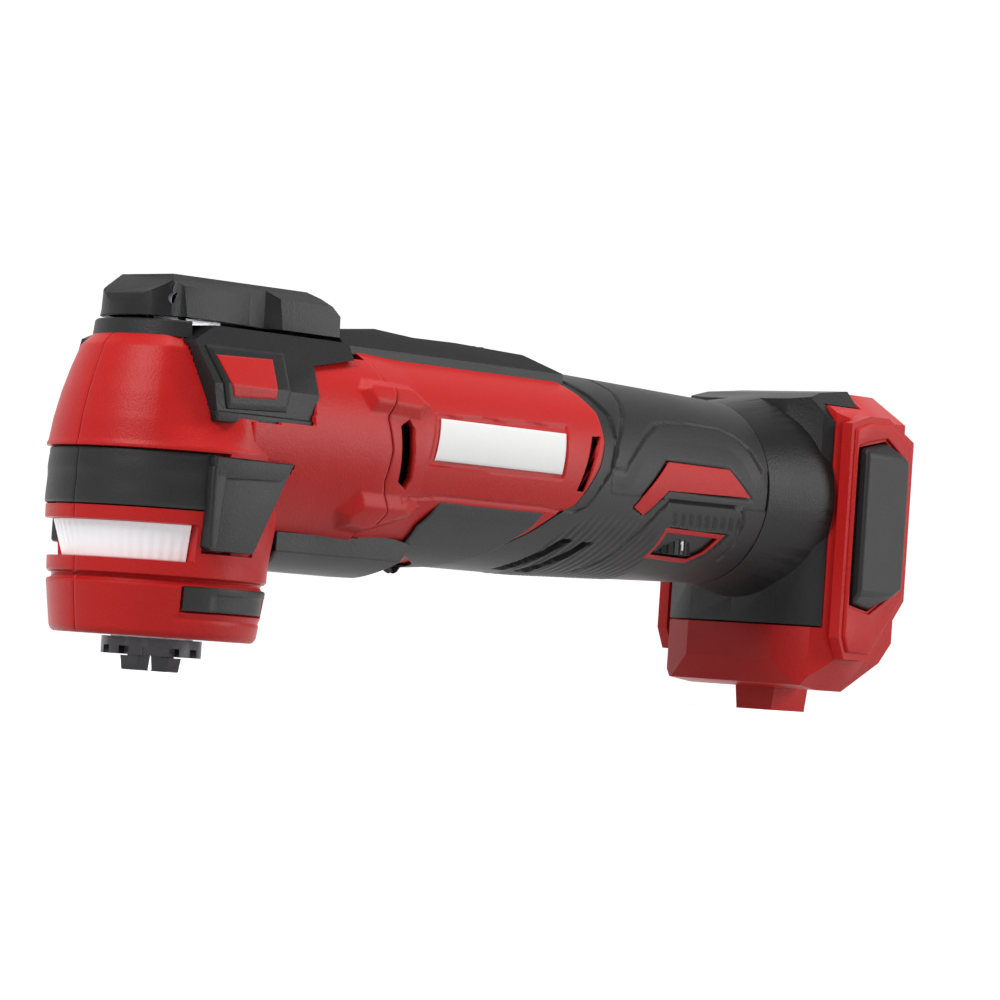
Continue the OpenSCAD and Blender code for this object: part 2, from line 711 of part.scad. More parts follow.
// The room under the lever stops short of the sloping nose
lever_room = [[-16.8, 0], [-16.8, lever_z0 + 3.1], [-11.65, lever_top - 2.2], [lever_tail - 4, lever_top - 2.2],
  [lever_tail - 4, 0]];
module clamp_lever() {
  color(black) difference() {
    intersection() {
      lever_plan(0);
      xz_prism([[-20, lever_z0], [-17.6, lever_z0 + 5.4], [-12, lever_top], [35, lever_top],
        [38.6, lever_top - 1.4], [lever_tail + 1, lever_z0 + 3.6], [lever_tail + 1, lever_z0]],
        -big / 8, big / 8);
      yz_prism([[-half_w, lever_z0], [half_w, lever_z0], [half_w - 0.6, lever_top - 3.2],
        [half_w - 4.6, lever_top], [-half_w + 4.6, lever_top], [-half_w + 0.6, lever_top - 3.2]],
        -big / 8, big / 4);
    }
    intersection() {
      lever_plan(2.2);
      xz_prism(lever_room, -half_w + 4.4, half_w - 4.4);
    }
    translate([pin_x, pin_l / 2, pin_z]) rotate([90, 0, 0]) cylinder(r = pin_r, h = pin_l);
  }
}
module lever_cam() {
  color("silver") {
    difference() {
      translate([pin_x, arm_y - run_gap, pin_z]) rotate([90, 0, 0]) linear_extrude(2 * (arm_y - run_gap)) {
        circle(r = eye_r);
        polygon([[0, 0.1 - eye_r], [5.6, -2.4], [5.6, 0.8], [0, eye_r - 0.1]]);
      }
      translate([pin_x, 20, pin_z]) rotate([90, 0, 0]) cylinder(r = pin_r, h = 40);
    }
    translate([pin_x, pin_l / 2, pin_z]) rotate([90, 0, 0]) cylinder(r = pin_r, h = pin_l);
  }
}

// ---- motor ----
stator_r = 21;
stator_in = 12;
stator_x = 74;
stator_l = 38;
module stator() {
  color("sienna") difference() {
    on_axis(stator_x) ring(stator_r, stator_in, stator_l);
    for (i = [0 : 5]) on_axis(stator_x - 1) rotate([0, 0, 60 * i]) translate([16.4, 0, 0])
      cylinder(r = 2.6, h = stator_l + 2);
  }
}
module motor_bracket() {
  color("darkslategray") difference() {
    union() {
      on_axis(stator_x + stator_l) cylinder(r = stator_r, h = 6);
      on_axis(rear_bearing_x - 4) cylinder(r = rear_bearing_r + 2.4, h = 10);
    }
    on_axis(stator_x + stator_l - 1) cylinder(r = stator_r - 3, h = 5);
    on_axis(stator_x + stator_l) cylinder(r = rear_bearing_r - 1.4, h = 30);
    on_axis(rear_bearing_x) cylinder(r = rear_bearing_r, h = 10);
  }
}
module motor_shaft() {
  color("silver") {
    on_axis(23) cylinder(r = shaft_r, h = rear_bearing_x + 4.5 - 23);
    // Eccentric journal and its balance weight
    difference() {
      union() {
        on_axis(23, eccentric) cylinder(r = 4, h = 7);
        on_axis(30) cylinder(r = 5, h = 7);
        intersection() {
          on_axis(31) cylinder(r = 11, h = 6);
          translate([0, -20 - 1, 0]) cube([60, 20, big]);
        }
      }
      on_axis(22) cylinder(r = shaft_r - eps, h = 20);
    }
  }
}
module eccentric_bearing() { color("gainsboro") on_axis(23, eccentric) ring(eccentric_bearing_r, 4, 7); }
module rotor() { color("dimgray") on_axis(stator_x + 2) ring(stator_in - 0.8, shaft_r, stator_l - 4); }
fan_x = seam_x + 2.2;
fan_r = 21.5;
module cooling_fan() {
  color("dimgray") {
    on_axis(fan_x) ring(6, shaft_r, 9);
    on_axis(fan_x + 7.6) ring(fan_r, 6 - eps, 1.4);
    for (i = [0 : 10]) on_axis(fan_x + 1) rotate([0, 0, i * 360 / 11]) translate([5.8, -0.6, 0])
      cube([fan_r - 7, 1.2, 6.8]);
  }
}

// ---- electrics ----
module switch_block() {
  color("dimgray") difference() {
    translate([slot_x0 - 1, -7, axis_z + stator_r + 0.3]) cube([27, 14, 3]);
    translate([slot_x0 + slider_l / 2 - 3, -2.4, axis_z + stator_r + 1.4]) cube([slider_travel + 6, 4.8, 5]);
  }
}
module speed_potentiometer() {
  color("darkgreen") translate([dial_x - 8, dial_y - 5, dial_z + dial_h / 2 + run_gap]) cube([16, 10, 1.6]);
  color("silver") translate([dial_x, dial_y, dial_z - dial_h / 2]) cylinder(r = 2.45, h = dial_h + 2 * run_gap);
}
module control_board() {
  color("darkgreen") translate([140, -17, axis_z - 1]) cube([60, 34, 1.6]);
  color("silver") for (i = [0 : 2]) translate([150 + 15 * i, 2, axis_z + 0.6 - eps]) cube([9, 9, 4.4]);
  color("black") for (i = [0 : 1]) translate([196, -11 + 12 * i, axis_z + 0.6 - eps]) cylinder(r = 3.4, h = 8);
}
terminal_w = 24;
blade_y = [-8, 0, 8];
module terminal_block() {
  color("dimgray") translate([bay_x - 3 * wall + 0.1, -terminal_w / 2 + 0.1, roof_z - 14.9])
    cube([3 * wall - run_gap - 0.2, terminal_w - 0.2, 12.8]);
  color("gold") for (y = blade_y) translate([bay_x - 1, y - 0.4, roof_z - 12]) cube([5, 0.8, 8]);
}

// ---- battery ----
cells_x = bay_x + 4.7 + cell_d / 2;
cells_z = batt_z0 + 12.4;
split_x = tail_x - 12;
module battery_shape() {
  intersection() {
    xz_prism([[bay_x, panel_z1 + 0.4], [bay_x, foot_z0 - run_gap - 0.1], [foot_x, foot_z0 - run_gap - 0.1],
      [foot_x, batt_z0 + 8], [foot_x + 3, batt_z0 + 1.2], [foot_x + 12, batt_z0], [tail_x - 13, batt_z0],
      [tail_x, batt_z0 + 15], [tail_x, panel_z1 + 5], [roof_x + run_gap, panel_z1 + 5],
      [roof_x + run_gap, panel_z1 + 0.4]], -big / 8, big / 8);
    yz_prism([[-foot_half_w, batt_z0 + 9], [-24, batt_z0], [24, batt_z0], [foot_half_w, batt_z0 + 9],
      [foot_half_w, panel_z1 - 3], [18, panel_z1 + 5], [-18, panel_z1 + 5], [-foot_half_w, panel_z1 - 3]],
      0, big);
    foot_plan(0);
  }
  // Side panels that stand out beyond the foot
  both_sides()
    xz_prism([[bay_x + 0.2, panel_z1 - 4.6], [bay_x + 8, panel_z1 - 2], [tail_x - 12, panel_z1 - 2],
      [tail_x, panel_z1 - 8], [tail_x, panel_z0 + 18], [tail_x - 14, panel_z0], [bay_x + 3, panel_z0],
      [bay_x + 0.2, panel_z0 + 6]], -panel_y, -foot_half_w + eps);
  // Keel under the battery
  yz_prism([[-8.4, batt_z0 + 8], [-6.6, 0], [6.6, 0], [8.4, batt_z0 + 8]], foot_x + 13, tail_x - 8);
}
module battery_hollow() {
  translate([bay_x + 4.3, -3 * cell_d / 2 - 0.6, cells_z - 0.6])
    cube([cell_d + 0.8, 3 * cell_d + 1.2, panel_z1 - cells_z - 1.8]);
}
function button_line(grow) = [[bay_x + 4 - grow, axis_z - 29 - grow], [bay_x + 12, axis_z - 30.6 - grow],
  [tail_x - 5.5 + grow, axis_z - 24 - grow], [tail_x - 5.5 + grow, axis_z + 13 + grow],
  [tail_x - 13, axis_z + 18 + grow], [bay_x + 4 - grow, axis_z + 15.4 + grow]];
button_travel = 2.2;
button_floor = foot_half_w - 1.4;
module contact_slots() {
  for (y = blade_y) translate([bay_x - 1, y - 1, roof_z - 14]) cube([8, 2, big]);
}
module battery_case() {
  difference() {
    battery_shape();
    battery_hollow();
    both_sides() xz_prism(button_line(run_gap), -big / 8, -button_floor);
    contact_slots();
  }
  both_sides() translate([bay_x - rail_h, rail_y - rail_w / 2, foot_z0 + 8])
    cube([rail_h + eps, rail_w, rail_top - foot_z0 - 8]);
}
module battery_front() {
  color(red) difference() {
    battery_case();
    translate([split_x, -big / 2, -1]) cube([big, big, big]);
  }
}
module battery_rear() {
  color(red) intersection() {
    battery_case();
    translate([split_x, -big / 2, -1]) cube([big, big, big]);
  }
}
module battery_cells() {
  color("steelblue") for (i = [-1 : 1]) translate([cells_x, i * cell_d, cells_z])
    cylinder(r = cell_d / 2 - 0.05, h = cell_l);
}
module release_button(left) {
  color(black) side(left) intersection() {
    xz_prism(button_line(0), -panel_y - button_proud, -button_floor - run_gap - button_travel);
    yz_prism([[-panel_y - button_proud, axis_z - 26], [-panel_y, axis_z - 31], [-foot_half_w + 5, axis_z - 31],
      [-foot_half_w + 5, axis_z + 19], [-panel_y, axis_z + 19], [-panel_y - button_proud, axis_z + 14]],
      0, big);
  }
}

// ---- screws ----
screw_r = 1.5;
// Each screw: its place along the barrel, its height and its length
head_screws = [[30, axis_z + 20.8, 24.4], [34, axis_z - 20.8, 24.4]];
motor_screws = [[seam_x + 16, axis_z + 18, 22], [seam_x + 16, axis_z - 18, 21]];
grip_screws = [[146, axis_z + 16, 21], [156, axis_z - 19, 20], [grip_end_x - 11, axis_z + 14, 21]];
foot_screws = [[grip_end_x + 9, axis_z - 16, 20]];
screw_points = concat(head_screws, motor_screws, grip_screws, foot_screws);
module bosses(points) {
  for (s = points) translate([s[0], 0, s[1]]) rotate([-90, 0, 0])
    translate([0, 0, -30]) cylinder(r = 4.2, h = 60);
}
module screw_holes() {
  for (s = screw_points) translate([s[0], 0, s[1]]) rotate([-90, 0, 0]) {
    translate([0, 0, s[2] - 6]) cylinder(r = 3.2, h = big / 8);
    translate([0, 0, -16]) cylinder(r = screw_r, h = 40);
  }
}
module housing_screws() {
  color("silver") for (s = screw_points) translate([s[0], 0, s[1]]) rotate([-90, 0, 0]) translate([0, 0, -6])
    screw(screw_r, s[2]);
}
module at_collar_screws() {
  for (a = [50, 100, 260, 310]) rotate([0, 0, a]) translate([case_r, 0, 0]) children();
}
module collar_screw_holes() {
  at_collar_screws() {
    translate([0, 0, collar_z - 1]) cylinder(r = 3, h = 2.9);
    translate([0, 0, collar_z]) cylinder(r = screw_r + 0.1, h = big / 8);
  }
}
module collar_screws() {
  color("silver") at_collar_screws() translate([0, 0, collar_z + collar_h + 8]) mirror([0, 0, 1])
    screw(screw_r, collar_h + 6.1);
}

gear_housing(true);  // gear_housing_left
gear_housing(false);  // gear_housing_right
head_band(true);  // head_band_left
head_band(false);  // head_band_right
top_cover();
badge_inlay(true);  // badge_left
badge_inlay(false);  // badge_right
collar(true);  // collar_left
collar(false);  // collar_right
collar_insert(true);  // collar_insert_left
collar_insert(false);  // collar_insert_right
lamp_lens();
lamp_board();
motor_housing(true);  // motor_housing_left
motor_housing(false);  // motor_housing_right
name_plate(true);  // name_plate_left
name_plate(false);  // name_plate_right
belly_pad();
neck_pad();
switch_panel();
switch_liner();
grip(true);  // grip_left
grip(false);  // grip_right
grip_stripe(true);  // grip_stripe_left
grip_stripe(false);  // grip_stripe_right
dial_window();
foot(true);  // foot_left
foot(false);  // foot_right
gear_case();
lever_bracket();
spindle_bearings();
motor_bearings();
stator();
motor_bracket();
switch_block();
speed_potentiometer();
control_board();
terminal_block();
housing_screws();
collar_screws();
spindle();
swing_fork();
blade_flange();
clamp_rod();
clamp_spring();
clamp_jaw(true);  // clamp_jaw_left
clamp_jaw(false);  // clamp_jaw_right
clamp_lever();
lever_cam();
motor_shaft();
rotor();
cooling_fan();
eccentric_bearing();
switch_slider();
speed_dial();
battery_front();
battery_rear();
battery_cells();
release_button(true);  // release_button_left
release_button(false);  // release_button_right
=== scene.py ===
# Cordless oscillating multi-tool, dressed piece by piece in the order it is put together.
# Lengths are in millimetres until a mesh is made; barrel heights are counted from the motor axis.
import math

import bmesh
import bpy
import numpy as np
from mathutils import Matrix, Vector


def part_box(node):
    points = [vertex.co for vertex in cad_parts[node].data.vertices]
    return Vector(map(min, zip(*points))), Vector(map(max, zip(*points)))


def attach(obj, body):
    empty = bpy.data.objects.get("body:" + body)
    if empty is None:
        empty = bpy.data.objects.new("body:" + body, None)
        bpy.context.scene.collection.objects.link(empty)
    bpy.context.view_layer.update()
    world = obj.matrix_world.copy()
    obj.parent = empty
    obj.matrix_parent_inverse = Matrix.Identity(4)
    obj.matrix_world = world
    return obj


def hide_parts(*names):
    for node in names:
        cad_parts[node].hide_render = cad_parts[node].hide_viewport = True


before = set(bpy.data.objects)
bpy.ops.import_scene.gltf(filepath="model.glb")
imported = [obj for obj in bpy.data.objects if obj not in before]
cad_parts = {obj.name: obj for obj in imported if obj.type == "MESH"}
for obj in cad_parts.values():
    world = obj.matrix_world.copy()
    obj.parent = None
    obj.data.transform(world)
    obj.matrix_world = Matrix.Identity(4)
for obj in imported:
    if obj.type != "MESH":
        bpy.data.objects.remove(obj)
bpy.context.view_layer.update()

# ---- gear housing ----
# Two red glass-filled nylon shells, moulded with a spark-eroded grain and screwed together on the
# middle plane. Each holds half of the head, the seat of the lamp and soft band, and the neck.
MM = 0.001
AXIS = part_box("motor_shaft")[0].z / MM + 11
COLLAR_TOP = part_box("collar_left")[1].z / MM
HEAD_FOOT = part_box("gear_housing_left")[0].z / MM
LENS_LOW, LENS_HIGH = (corner.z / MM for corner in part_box("lamp_lens"))
BAND_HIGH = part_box("head_band_left")[1].z / MM
BAND_LOW = BAND_HIGH - 14.7
HEAD_TOP = BAND_HIGH + 29.2
SIDES = ((-1, "left"), (1, "right"))


def moulded(name, colour, rough, grain=1700.0, depth=0.32, tint=0.10, shine=0.27):
    """Grained plastic or rubber: fine bumps, slightly uneven colour and gloss."""
    material = bpy.data.materials.new(name)
    material.use_nodes = True
    nodes, links = material.node_tree.nodes, material.node_tree.links
    shader = nodes["Principled BSDF"]
    place = nodes.new("ShaderNodeTexCoord")
    speck = nodes.new("ShaderNodeTexNoise")
    speck.inputs["Scale"].default_value = grain
    speck.inputs["Detail"].default_value = 3.0
    cloud = nodes.new("ShaderNodeTexNoise")
    cloud.inputs["Scale"].default_value = 38.0
    cloud.inputs["Detail"].default_value = 4.0
    mix = nodes.new("ShaderNodeMix")
    mix.data_type = "RGBA"
    mix.inputs["A"].default_value = tuple(c * (1 - tint) for c in colour) + (1,)
    mix.inputs["B"].default_value = tuple(min(1, c * (1 + tint) + 0.004) for c in colour) + (1,)
    gloss = nodes.new("ShaderNodeMapRange")
    gloss.inputs["To Min"].default_value = rough - 0.06
    gloss.inputs["To Max"].default_value = rough + 0.07
    bump = nodes.new("ShaderNodeBump")
    bump.inputs["Strength"].default_value = depth
    bump.inputs["Distance"].default_value = 0.00025
    for texture in (speck, cloud):
        links.new(place.outputs["Object"], texture.inputs["Vector"])
    links.new(speck.outputs["Fac"], mix.inputs["Factor"])
    links.new(cloud.outputs["Fac"], gloss.inputs["Value"])
    links.new(speck.outputs["Fac"], bump.inputs["Height"])
    links.new(mix.outputs["Result"], shader.inputs["Base Color"])
    links.new(gloss.outputs["Result"], shader.inputs["Roughness"])
    links.new(bump.outputs["Normal"], shader.inputs["Normal"])
    shader.inputs["Specular IOR Level"].default_value = shine
    return material


red_nylon = moulded("red_nylon", (0.47, 0.010, 0.009), 0.38, shine=0.17)
# Near-black, rougher plastic laid where vents and slots fall into shade: painted shade.
painted_shade_black = moulded("painted_shade_black", (0.006, 0.006, 0.006), 0.7)


def near(x, z, points, closed=False):
    """How far each place is from a line through the points."""
    far = np.full(x.shape, 1e6)
    ends = points[1:] + points[:1] if closed else points[1:]
    for (ax, az), (bx, bz) in zip(points, ends):
        run = (bx - ax) ** 2 + (bz - az) ** 2
        t = np.clip(((x - ax) * (bx - ax) + (z - az) * (bz - az)) / run, 0, 1)
        far = np.minimum(far, np.hypot(x - ax - t * (bx - ax), z - az - t * (bz - az)))
    return far


def within(x, z, points):
    odd = np.zeros(x.shape, bool)
    for (ax, az), (bx, bz) in zip(points, points[1:] + points[:1]):
        if az != bz:
            odd ^= ((az > z) != (bz > z)) & (x < (bx - ax) * (z - az) / (bz - az) + ax)
    return odd


def groove(x, z, points, width, depth, closed=False):
    return -depth * np.clip(1 - (near(x, z, points, closed) / (width / 2)) ** 2, 0, 1)


def raised(x, z, points, height, slope):
    """A pad inside an outline, climbing over the slope's width. A negative height sinks a pocket."""
    climb = np.clip(near(x, z, points, True) / slope, 0, 1)
    return np.where(within(x, z, points), height * climb, 0.0)


def run_of(length, step, edge):
    """Places from one end of a run to the other, and how far each sinks to round both ends."""
    middle = np.linspace(edge, length - edge, max(3, int(length / step)))
    places = np.concatenate([[0, 0.3 * edge], middle, [length - 0.3 * edge, length]])
    gap = np.minimum(places, length - places).clip(0, edge)
    return places, edge - np.sqrt(np.maximum(edge ** 2 - (edge - gap) ** 2, 0))


def make(name, points, faces, materials, kinds=None, wall=0.0, crisp=32):
    """An object from millimetre points. A wall thickens an open skin inwards."""
    mesh = bpy.data.meshes.new(name)
    mesh.from_pydata((np.asarray(points, float) * MM).tolist(), [], faces)
    for material in materials:
        mesh.materials.append(material)
    if kinds is not None:
        mesh.polygons.foreach_set("material_index", np.asarray(kinds, np.int32))
    mesh.polygons.foreach_set("use_smooth", np.ones(len(mesh.polygons), bool))
    mesh.set_sharp_from_angle(angle=math.radians(crisp))
    piece = bpy.data.objects.new(name, mesh)
    bpy.context.scene.collection.objects.link(piece)
    if wall:
        shell = piece.modifiers.new("wall", "SOLIDIFY")
        shell.thickness = wall * MM
        shell.offset = -1
    return piece


def grid_faces(rows, columns, flip):
    at = np.arange(rows * columns).reshape(rows, columns)
    quads = np.stack([at[:-1, :-1], at[:-1, 1:], at[1:, 1:], at[1:, :-1]], -1).reshape(-1, 4)
    return (quads[:, ::-1] if flip else quads).tolist()


def finish_piece(piece, body, slot, *nodes):
    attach(piece, body)
    if nodes:
        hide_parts(*nodes)
    return piece


def barrel_skin(name, side, start, end, low, high, radius, relief, materials, painted_shade_outlines=(), step=0.65,
                wall=1.5, edge=0.45, top=99.0):
    """Half of a round shell about the motor axis. start and end give x for a height above the
    axis, radius gives the radius for x, and relief gives the mould's detail for x and height."""
    turn, turn_sink = run_of(math.radians(high - low) * radius(100.0), step, edge)
    angle = math.radians(low) + turn / radius(100.0)
    height = radius(100.0) * np.sin(angle)
    first, last = start(height), end(height)
    share, share_sink = run_of(float(np.max(last - first)), step, edge)
    share = share / share[-1]
    x = first[None, :] + (last - first)[None, :] * share[:, None]
    base = radius(x)
    z = base * np.sin(angle)[None, :]
    sink = np.maximum(share_sink[:, None], turn_sink[None, :])
    r = base + relief(x, z) - sink
    z_out = np.minimum(r * np.sin(angle)[None, :], top) + AXIS
    y_out = side * r * np.cos(angle)[None, :]
    points = np.stack([x, y_out, z_out], -1).reshape(-1, 3)
    faces = grid_faces(*x.shape, side < 0)
    kinds = np.zeros((x.shape[0] - 1, x.shape[1] - 1), np.int32)
    middle_x = (x[:-1, :-1] + x[1:, 1:]) / 2
    middle_z = (z[:-1, :-1] + z[1:, 1:]) / 2
    # Faces inside these outlines take the second material, which is painted shade.
    for outline in painted_shade_outlines:
        kinds[within(middle_x, middle_z, outline)] = 1
    return make(name, points, faces, materials, kinds.ravel(), wall)


def level(value):
    return lambda height: np.full(np.shape(height), float(value))


SEAM = ((-29, 53), (-22, 50.4), (-15, 54.2), (-8, 51.4), (0, 52.6), (8, 51.2), (14, 54.6),
        (19, 53.4), (29, 49))
UPPER_BOSS = [(42, 14.5), (45, 17.6), (63, 17.6), (69.5, 12.6), (64, 8.8), (45, 9.2)]
LOWER_BOSS = [(38, -16.5), (44, -11.2), (62, -11.2), (68, -13.4), (64.5, -17.5), (50, -21.5), (42, -21)]


def seam(shift):
    heights, places = zip(*SEAM)
    return lambda height: np.interp(height, heights, places) + shift


def boss_relief(x, z):
    return raised(x, z, UPPER_BOSS, 2.0, 2.4) + raised(x, z, LOWER_BOSS, 2.2, 2.8)


def neck_relief(x, z):
    fade = 0.6 * np.clip((x - 30) / 18, 0, 1)
    sunk = 3.4 * within(x, z + AXIS, WING_POCKET) + 2.6 * within(x, z + AXIS, COVER_POCKET)
    return boss_relief(x, z) + fade - sunk


HEAD_LINE = ((28.0, 23.6), (28.1, 27.4), (28.4, 31.0), (29.2, 37.0), (29.4, 44.0), (30.0, 54.8),
             (30.1, 56.2), (29.7, 57.0), (28.9, 62.5), (27.3, 69.5), (25.3, 76.0), (23.2, 81.6),
             (20.3, 84.6), (12.0, 84.6))
LENS_SPREAD, BAND_SPREAD = 66, 80
COVER_POCKET = [(-3, 90), (-11.4, 83.6), (-7.6, 64.8), (24.4, 65), (27.4, 80.6), (44, 83.6), (44, 90)]
WING_POCKET = [(-9.5, BAND_HIGH - 0.8), (-9.5, HEAD_FOOT + 7), (6.4, HEAD_FOOT + 7),
               (18.6, BAND_HIGH - 0.8)]


def head_skin(name, side):
    """Half of the head, turned about the spindle and flattened beyond 45 degrees from the nose."""
    breaks = [LENS_LOW, LENS_HIGH, BAND_LOW, BAND_HIGH]
    line_r, line_z = (np.array(c) for c in zip(*HEAD_LINE))
    along = np.concatenate([[0], np.cumsum(np.hypot(np.diff(line_r), np.diff(line_z)))])
    places = list(np.linspace(0, along[-1], 110))
    for z in breaks:
        at = np.interp(z, line_z[:13], along[:13])
        places += [at - 0.7, at - 0.12, at + 0.12, at + 0.7]
    places = np.array(sorted(places))
    r0, z0 = np.interp(places, along, line_r), np.interp(places, along, line_z)
    foot = np.clip(places / 0.6, 0, 1)
    turn, turn_sink = run_of(math.pi * 28, 0.7, 0.45)
    phi = turn / 28
    deg = np.degrees(phi)
    flat = math.cos(math.radians(22.5)) / np.cos(phi - math.radians(67.5))
    facet = np.where((deg > 45) & (deg < 90), flat, 1)
    soften = np.convolve(np.pad(facet, 2, mode="edge"), np.ones(5) / 5, "valid")
    strength = np.clip((z0 - BAND_HIGH - 1.5) / 5, 0, 1)[:, None]
    r = r0[:, None] * (1 + (soften[None, :] - 1) * strength)
    r = r - turn_sink[None, :] - 0.5 * (1 - foot)[:, None] ** 2
    lens = (z0[:, None] > LENS_LOW) & (z0[:, None] < LENS_HIGH) & (deg[None, :] < LENS_SPREAD)
    band = (z0[:, None] > BAND_LOW) & (z0[:, None] < BAND_HIGH) & (deg[None, :] < BAND_SPREAD)
    r = r - np.where(lens, 4.6, 0) - np.where(band, 2.6, 0)
    x = -r * np.cos(phi)[None, :]
    height = z0[:, None] + 0 * x
    r = r - np.where(within(x, height, WING_POCKET), 3.4, 0)
    r = r - np.where(within(x, height, COVER_POCKET) & (deg[None, :] > 50), 1.8, 0)
    return turned_skin(name, r, phi, side, np.repeat(z0[:, None], len(phi), 1), red_nylon, 1.2)


def turned_skin(name, r, phi, side, z, material, wall):
    """A skin turned about the spindle, for one side of the head, from radii and heights."""
    points = np.stack([-r * np.cos(phi)[None, :], side * r * np.sin(phi)[None, :], z], -1)
    return make(name, points.reshape(-1, 3), grid_faces(*r.shape, side > 0), [material], None, wall)


def merged(name, pieces):
    """One object from several, with each part's modifiers carried out first."""
    graph = bpy.context.evaluated_depsgraph_get()
    bm = bmesh.new()
    slots = []
    for piece in pieces:
        mesh = bpy.data.meshes.new_from_object(piece.evaluated_get(graph))
        start = len(bm.faces)
        bm.from_mesh(mesh)
        bm.faces.ensure_lookup_table()
        for face in bm.faces[start:]:
            material = mesh.materials[face.material_index]
            if material not in slots:
                slots.append(material)
            face.material_index = slots.index(material)
    whole = bpy.data.meshes.new(name)
    bm.to_mesh(whole)
    bm.free()
    for material in slots:
        whole.materials.append(material)
    for piece in pieces:
        bpy.data.objects.remove(piece)
    joined = bpy.data.objects.new(name, whole)
    bpy.context.scene.collection.objects.link(joined)
    return joined


def prism(name, outline, near_y, far_y, bevel, material, segments=3):
    """A plate whose outline is given in x and z, between two y planes, with rounded edges."""
    bm = bmesh.new()
    floor = [bm.verts.new((x * MM, near_y * MM, z * MM)) for x, z in outline]
    face = bm.faces.new(floor)
    grown = bmesh.ops.extrude_face_region(bm, geom=[face])["geom"]
    tops = [g for g in grown if isinstance(g, bmesh.types.BMVert)]
    bmesh.ops.translate(bm, verts=tops, vec=(0, (far_y - near_y) * MM, 0))
    bmesh.ops.recalc_face_normals(bm, faces=bm.faces[:])
    if bevel:
        bmesh.ops.bevel(bm, geom=bm.edges[:], offset=bevel * MM, segments=segments, profile=0.5,
                        affect="EDGES", clamp_overlap=True)
    mesh = bpy.data.meshes.new(name)
    bm.to_mesh(mesh)
    bm.free()
    mesh.materials.append(material)
    mesh.polygons.foreach_set("use_smooth", np.ones(len(mesh.polygons), bool))
    mesh.set_sharp_from_angle(angle=math.radians(35))
    piece = bpy.data.objects.new(name, mesh)
    bpy.context.scene.collection.objects.link(piece)
    return piece


def dressed(name, node, bevel, material, segments=3, angle=28):
    """A copy of a plain machined node with its flats merged and its edges rounded."""
    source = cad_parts[node].data
    bm = bmesh.new()
    bm.from_mesh(source)
    bmesh.ops.remove_doubles(bm, verts=bm.verts[:], dist=2e-6)
    bmesh.ops.dissolve_limit(bm, angle_limit=math.radians(1.0), verts=bm.verts[:], edges=bm.edges[:])
    mesh = bpy.data.meshes.new(name)
    bm.to_mesh(mesh)
    bm.free()
    mesh.materials.clear()
    mesh.materials.append(material)
    mesh.polygons.foreach_set("material_index", np.zeros(len(mesh.polygons), np.int32))
    piece = bpy.data.objects.new(name, mesh)
    bpy.context.scene.collection.objects.link(piece)
    if bevel:
        rounder = piece.modifiers.new("edges", "BEVEL")
        rounder.width = bevel * MM
        rounder.segments = segments
        rounder.limit_method = "ANGLE"
        rounder.angle_limit = math.radians(angle)
        rounder.use_clamp_overlap = True
    mesh.polygons.foreach_set("use_smooth", np.ones(len(mesh.polygons), bool))
    mesh.set_sharp_from_angle(angle=math.radians(35))
    return piece


for side, hand in SIDES:
    parts = [head_skin("head_shell_" + hand, side)]
    parts.append(barrel_skin("neck_shell_" + hand, side, level(3), seam(-0.4), -90, 90,
                             lambda x: 29.2 + 0 * x, neck_relief, [red_nylon], top=HEAD_TOP - AXIS - 0.4))
    parts.append(prism("cheek_" + hand, [(0, 28), (7, 30), (20, 54), (20, 63), (0, 63)],
                       side * 14, side * 27, 0.6, red_nylon))
    finish_piece(merged("gear_shell_" + hand, parts), "housing", "red_shell", "gear_housing_" + hand)

# ---- motor housing ----
# The red shells round the motor, with the vents of the fan, a blank printed plate on each side and
# the second half of each screw boss. The rear edge follows the grip's soft rim.
SPLIT = ((-31, 84), (-24, 102), (-17.5, 113), (-11.6, 120.5), (-9, 126), (-4, 129.5), (2, 133.5), (9, 136.2),
         (17, 136.4), (21.5, 133), (25, 128), (28, 119))
FRONT_VENT = [(56.0, 6.6), (59.6, 8.6), (61.4, 6.6), (61.6, -6.8), (60.1, -9.6), (56.6, -8.0)]
REAR_VENT = [(131.0, 10.1), (134.4, 10.3), (127.6, -5.3), (124.8, -5.2)]
PLATE = [(70.5, 11), (122, 12.4), (119, -2.6), (66.5, -3)]
BELLY_EDGE = [(60, -12), (74.5, -10.6), (114.6, -10.6), (121, -11)]
MOTOR_R = 28.5


def cut_through(piece, outlines, side, reach=20):
    """Openings cut square through a skin, with walls of their own colour."""
    for outline in outlines:
        cutter = prism(piece.name + "_cut", outline, side * reach, side * 40, 0, piece.data.materials[0])
        cutter.location.z = AXIS * MM
        saw = piece.modifiers.new("opening", "BOOLEAN")
        saw.operation = "DIFFERENCE"
        saw.solver = "EXACT"
        saw.object = cutter
        bpy.context.view_layer.update()
        mesh = bpy.data.meshes.new_from_object(piece.evaluated_get(bpy.context.evaluated_depsgraph_get()))
        piece.modifiers.clear()
        piece.data = mesh
        bpy.data.objects.remove(cutter)
    return piece


def split(shift):
    heights, places = zip(*SPLIT)
    return lambda height: np.interp(height, heights, places) + shift


def motor_relief(x, z):
    flow = boss_relief(x, z)
    flow = flow + raised(x, z, PLATE, -0.45, 0.5)
    flow = flow + groove(x, z, BELLY_EDGE, 1.6, 0.5)
    flow = flow + 0.6 * np.clip(1 - (x - 54) / 12, 0, 1)
    return flow


